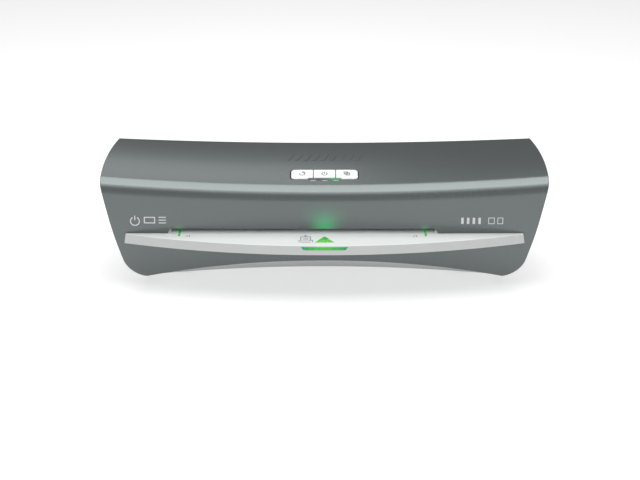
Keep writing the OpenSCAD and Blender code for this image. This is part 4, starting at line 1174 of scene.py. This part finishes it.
class LAMINATOR_OT_inner_nodes(bpy.types.Operator):
    """Give the CAD parts of the frame, drive, heating and electronics their finishes"""
    bl_idname = "laminator.inner_nodes"
    bl_label = "Mechanism"

    def execute(self, context):
        paint_nodes(INNER_NODES)
        for pair in ("front", "rear"):
            spring = pair + "_pressure_springs"
            low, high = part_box(spring)
            travel = settings("rear").nip_lift / (high.z - low.z)
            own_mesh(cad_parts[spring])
        return {"FINISHED"}


# ---- Studio ----

def area_light(name, place, target, width, height, power):
    """A soft rectangular light that faces a target."""
    data = bpy.data.lights.new(name, "AREA")
    data.shape, data.size, data.size_y, data.energy = "RECTANGLE", width, height, power
    aimed(linked(name, data), place, target)


class LAMINATOR_OT_studio(bpy.types.Operator):
    """Set up the pale floor, the soft lights and the camera"""
    bl_idname = "laminator.studio"
    bl_label = "Studio"

    def execute(self, context):
        studio, scene = settings("studio"), context.scene
        n = Nodes("floor_paint")
        cloud = n.noise(2.0, 2.0)
        pale = n.surface({"Base Color": n.mix(cloud, (0.56, 0.56, 0.56), (0.60, 0.60, 0.60)),
                          "Roughness": 0.75, "Emission Color": (1.0, 1.0, 1.0),
                          "Emission Strength": 0.52})
        mesh = bpy.data.meshes.new("floor")
        mesh.from_pydata([(-5, -5, 0), (5, -5, 0), (5, 5, 0), (-5, 5, 0)], [], [(0, 1, 2, 3)])
        mesh.materials.append(pale)
        linked("floor", mesh)

        world = bpy.data.worlds.new("studio")
        scene.world = world
        w = Nodes(world)
        seen = w.node("LightPath", output="Is Camera Ray")
        depth = w.place()[1]
        around = w.mix((depth * 3.0 + 0.5).clip(), (studio.sky,) * 3, (studio.behind,) * 3)
        around = w.mix((depth * -5.0 - 4.0).clip(), around, (studio.horizon,) * 3)
        sky = w.node("Background", sockets={"Color": w.mix(seen, around, (1.0, 1.0, 1.0)),
                                            "Strength": 1.0})
        w.node("OutputWorld", sockets={"Surface": sky})
        area_light("overhead", (0.0, -0.14, 1.30), (0.0, -0.08, 0.0), 1.5, 1.35,
                   studio.overhead)
        area_light("front", (0.0, -0.86, 1.20), (0.0, -0.04, 0.09), 1.4, 0.6, studio.front)
        area_light("left", (-0.36, 0.78, 1.10), (-0.36, 0.0, 0.10), 0.8, 0.27, studio.left)
        scene.view_settings.view_transform = "Standard"

        data = bpy.data.cameras.new("camera")
        data.lens, data.sensor_width = studio.lens, 36.0
        data.shift_x, data.shift_y = studio.shift_x, studio.shift_y
        data.clip_start, data.clip_end = 0.05, 20.0
        scene.camera = linked("camera", data)
        aimed(scene.camera, studio.camera, studio.target)
        return {"FINISHED"}


# ---- Panel and run ----

OPERATORS = (
    LAMINATOR_OT_top_cover, LAMINATOR_OT_feed_tray, LAMINATOR_OT_rear_cover,
    LAMINATOR_OT_base, LAMINATOR_OT_buttons, LAMINATOR_OT_indicator, LAMINATOR_OT_marks,
    LAMINATOR_OT_outer_nodes, LAMINATOR_OT_inner_nodes, LAMINATOR_OT_studio,
)


class LAMINATOR_PT_sidebar(bpy.types.Panel):
    """Lists the steps that build the laminator"""
    bl_label = "Pouch laminator"
    bl_space_type = "VIEW_3D"
    bl_region_type = "UI"
    bl_category = "Laminator"

    def draw(self, context):
        for step in OPERATORS:
            self.layout.operator(step.bl_idname)


CLASSES = (*SETTINGS.values(), *OPERATORS, LAMINATOR_PT_sidebar)


def register():
    """Registers the classes and hangs the settings on the scene."""
    for cls in CLASSES:
        bpy.utils.register_class(cls)
    for name, group in SETTINGS.items():
        setattr(bpy.types.Scene, "laminator_" + name, PointerProperty(type=group))


def unregister():
    """Takes the settings and the classes away again."""
    for name in SETTINGS:
        delattr(bpy.types.Scene, "laminator_" + name)
    for cls in reversed(CLASSES):
        bpy.utils.unregister_class(cls)


def main():
    register()
    for step in OPERATORS:
        getattr(bpy.ops.laminator, step.bl_idname.split(".")[1])()


if __name__ == "__main__":
    main()
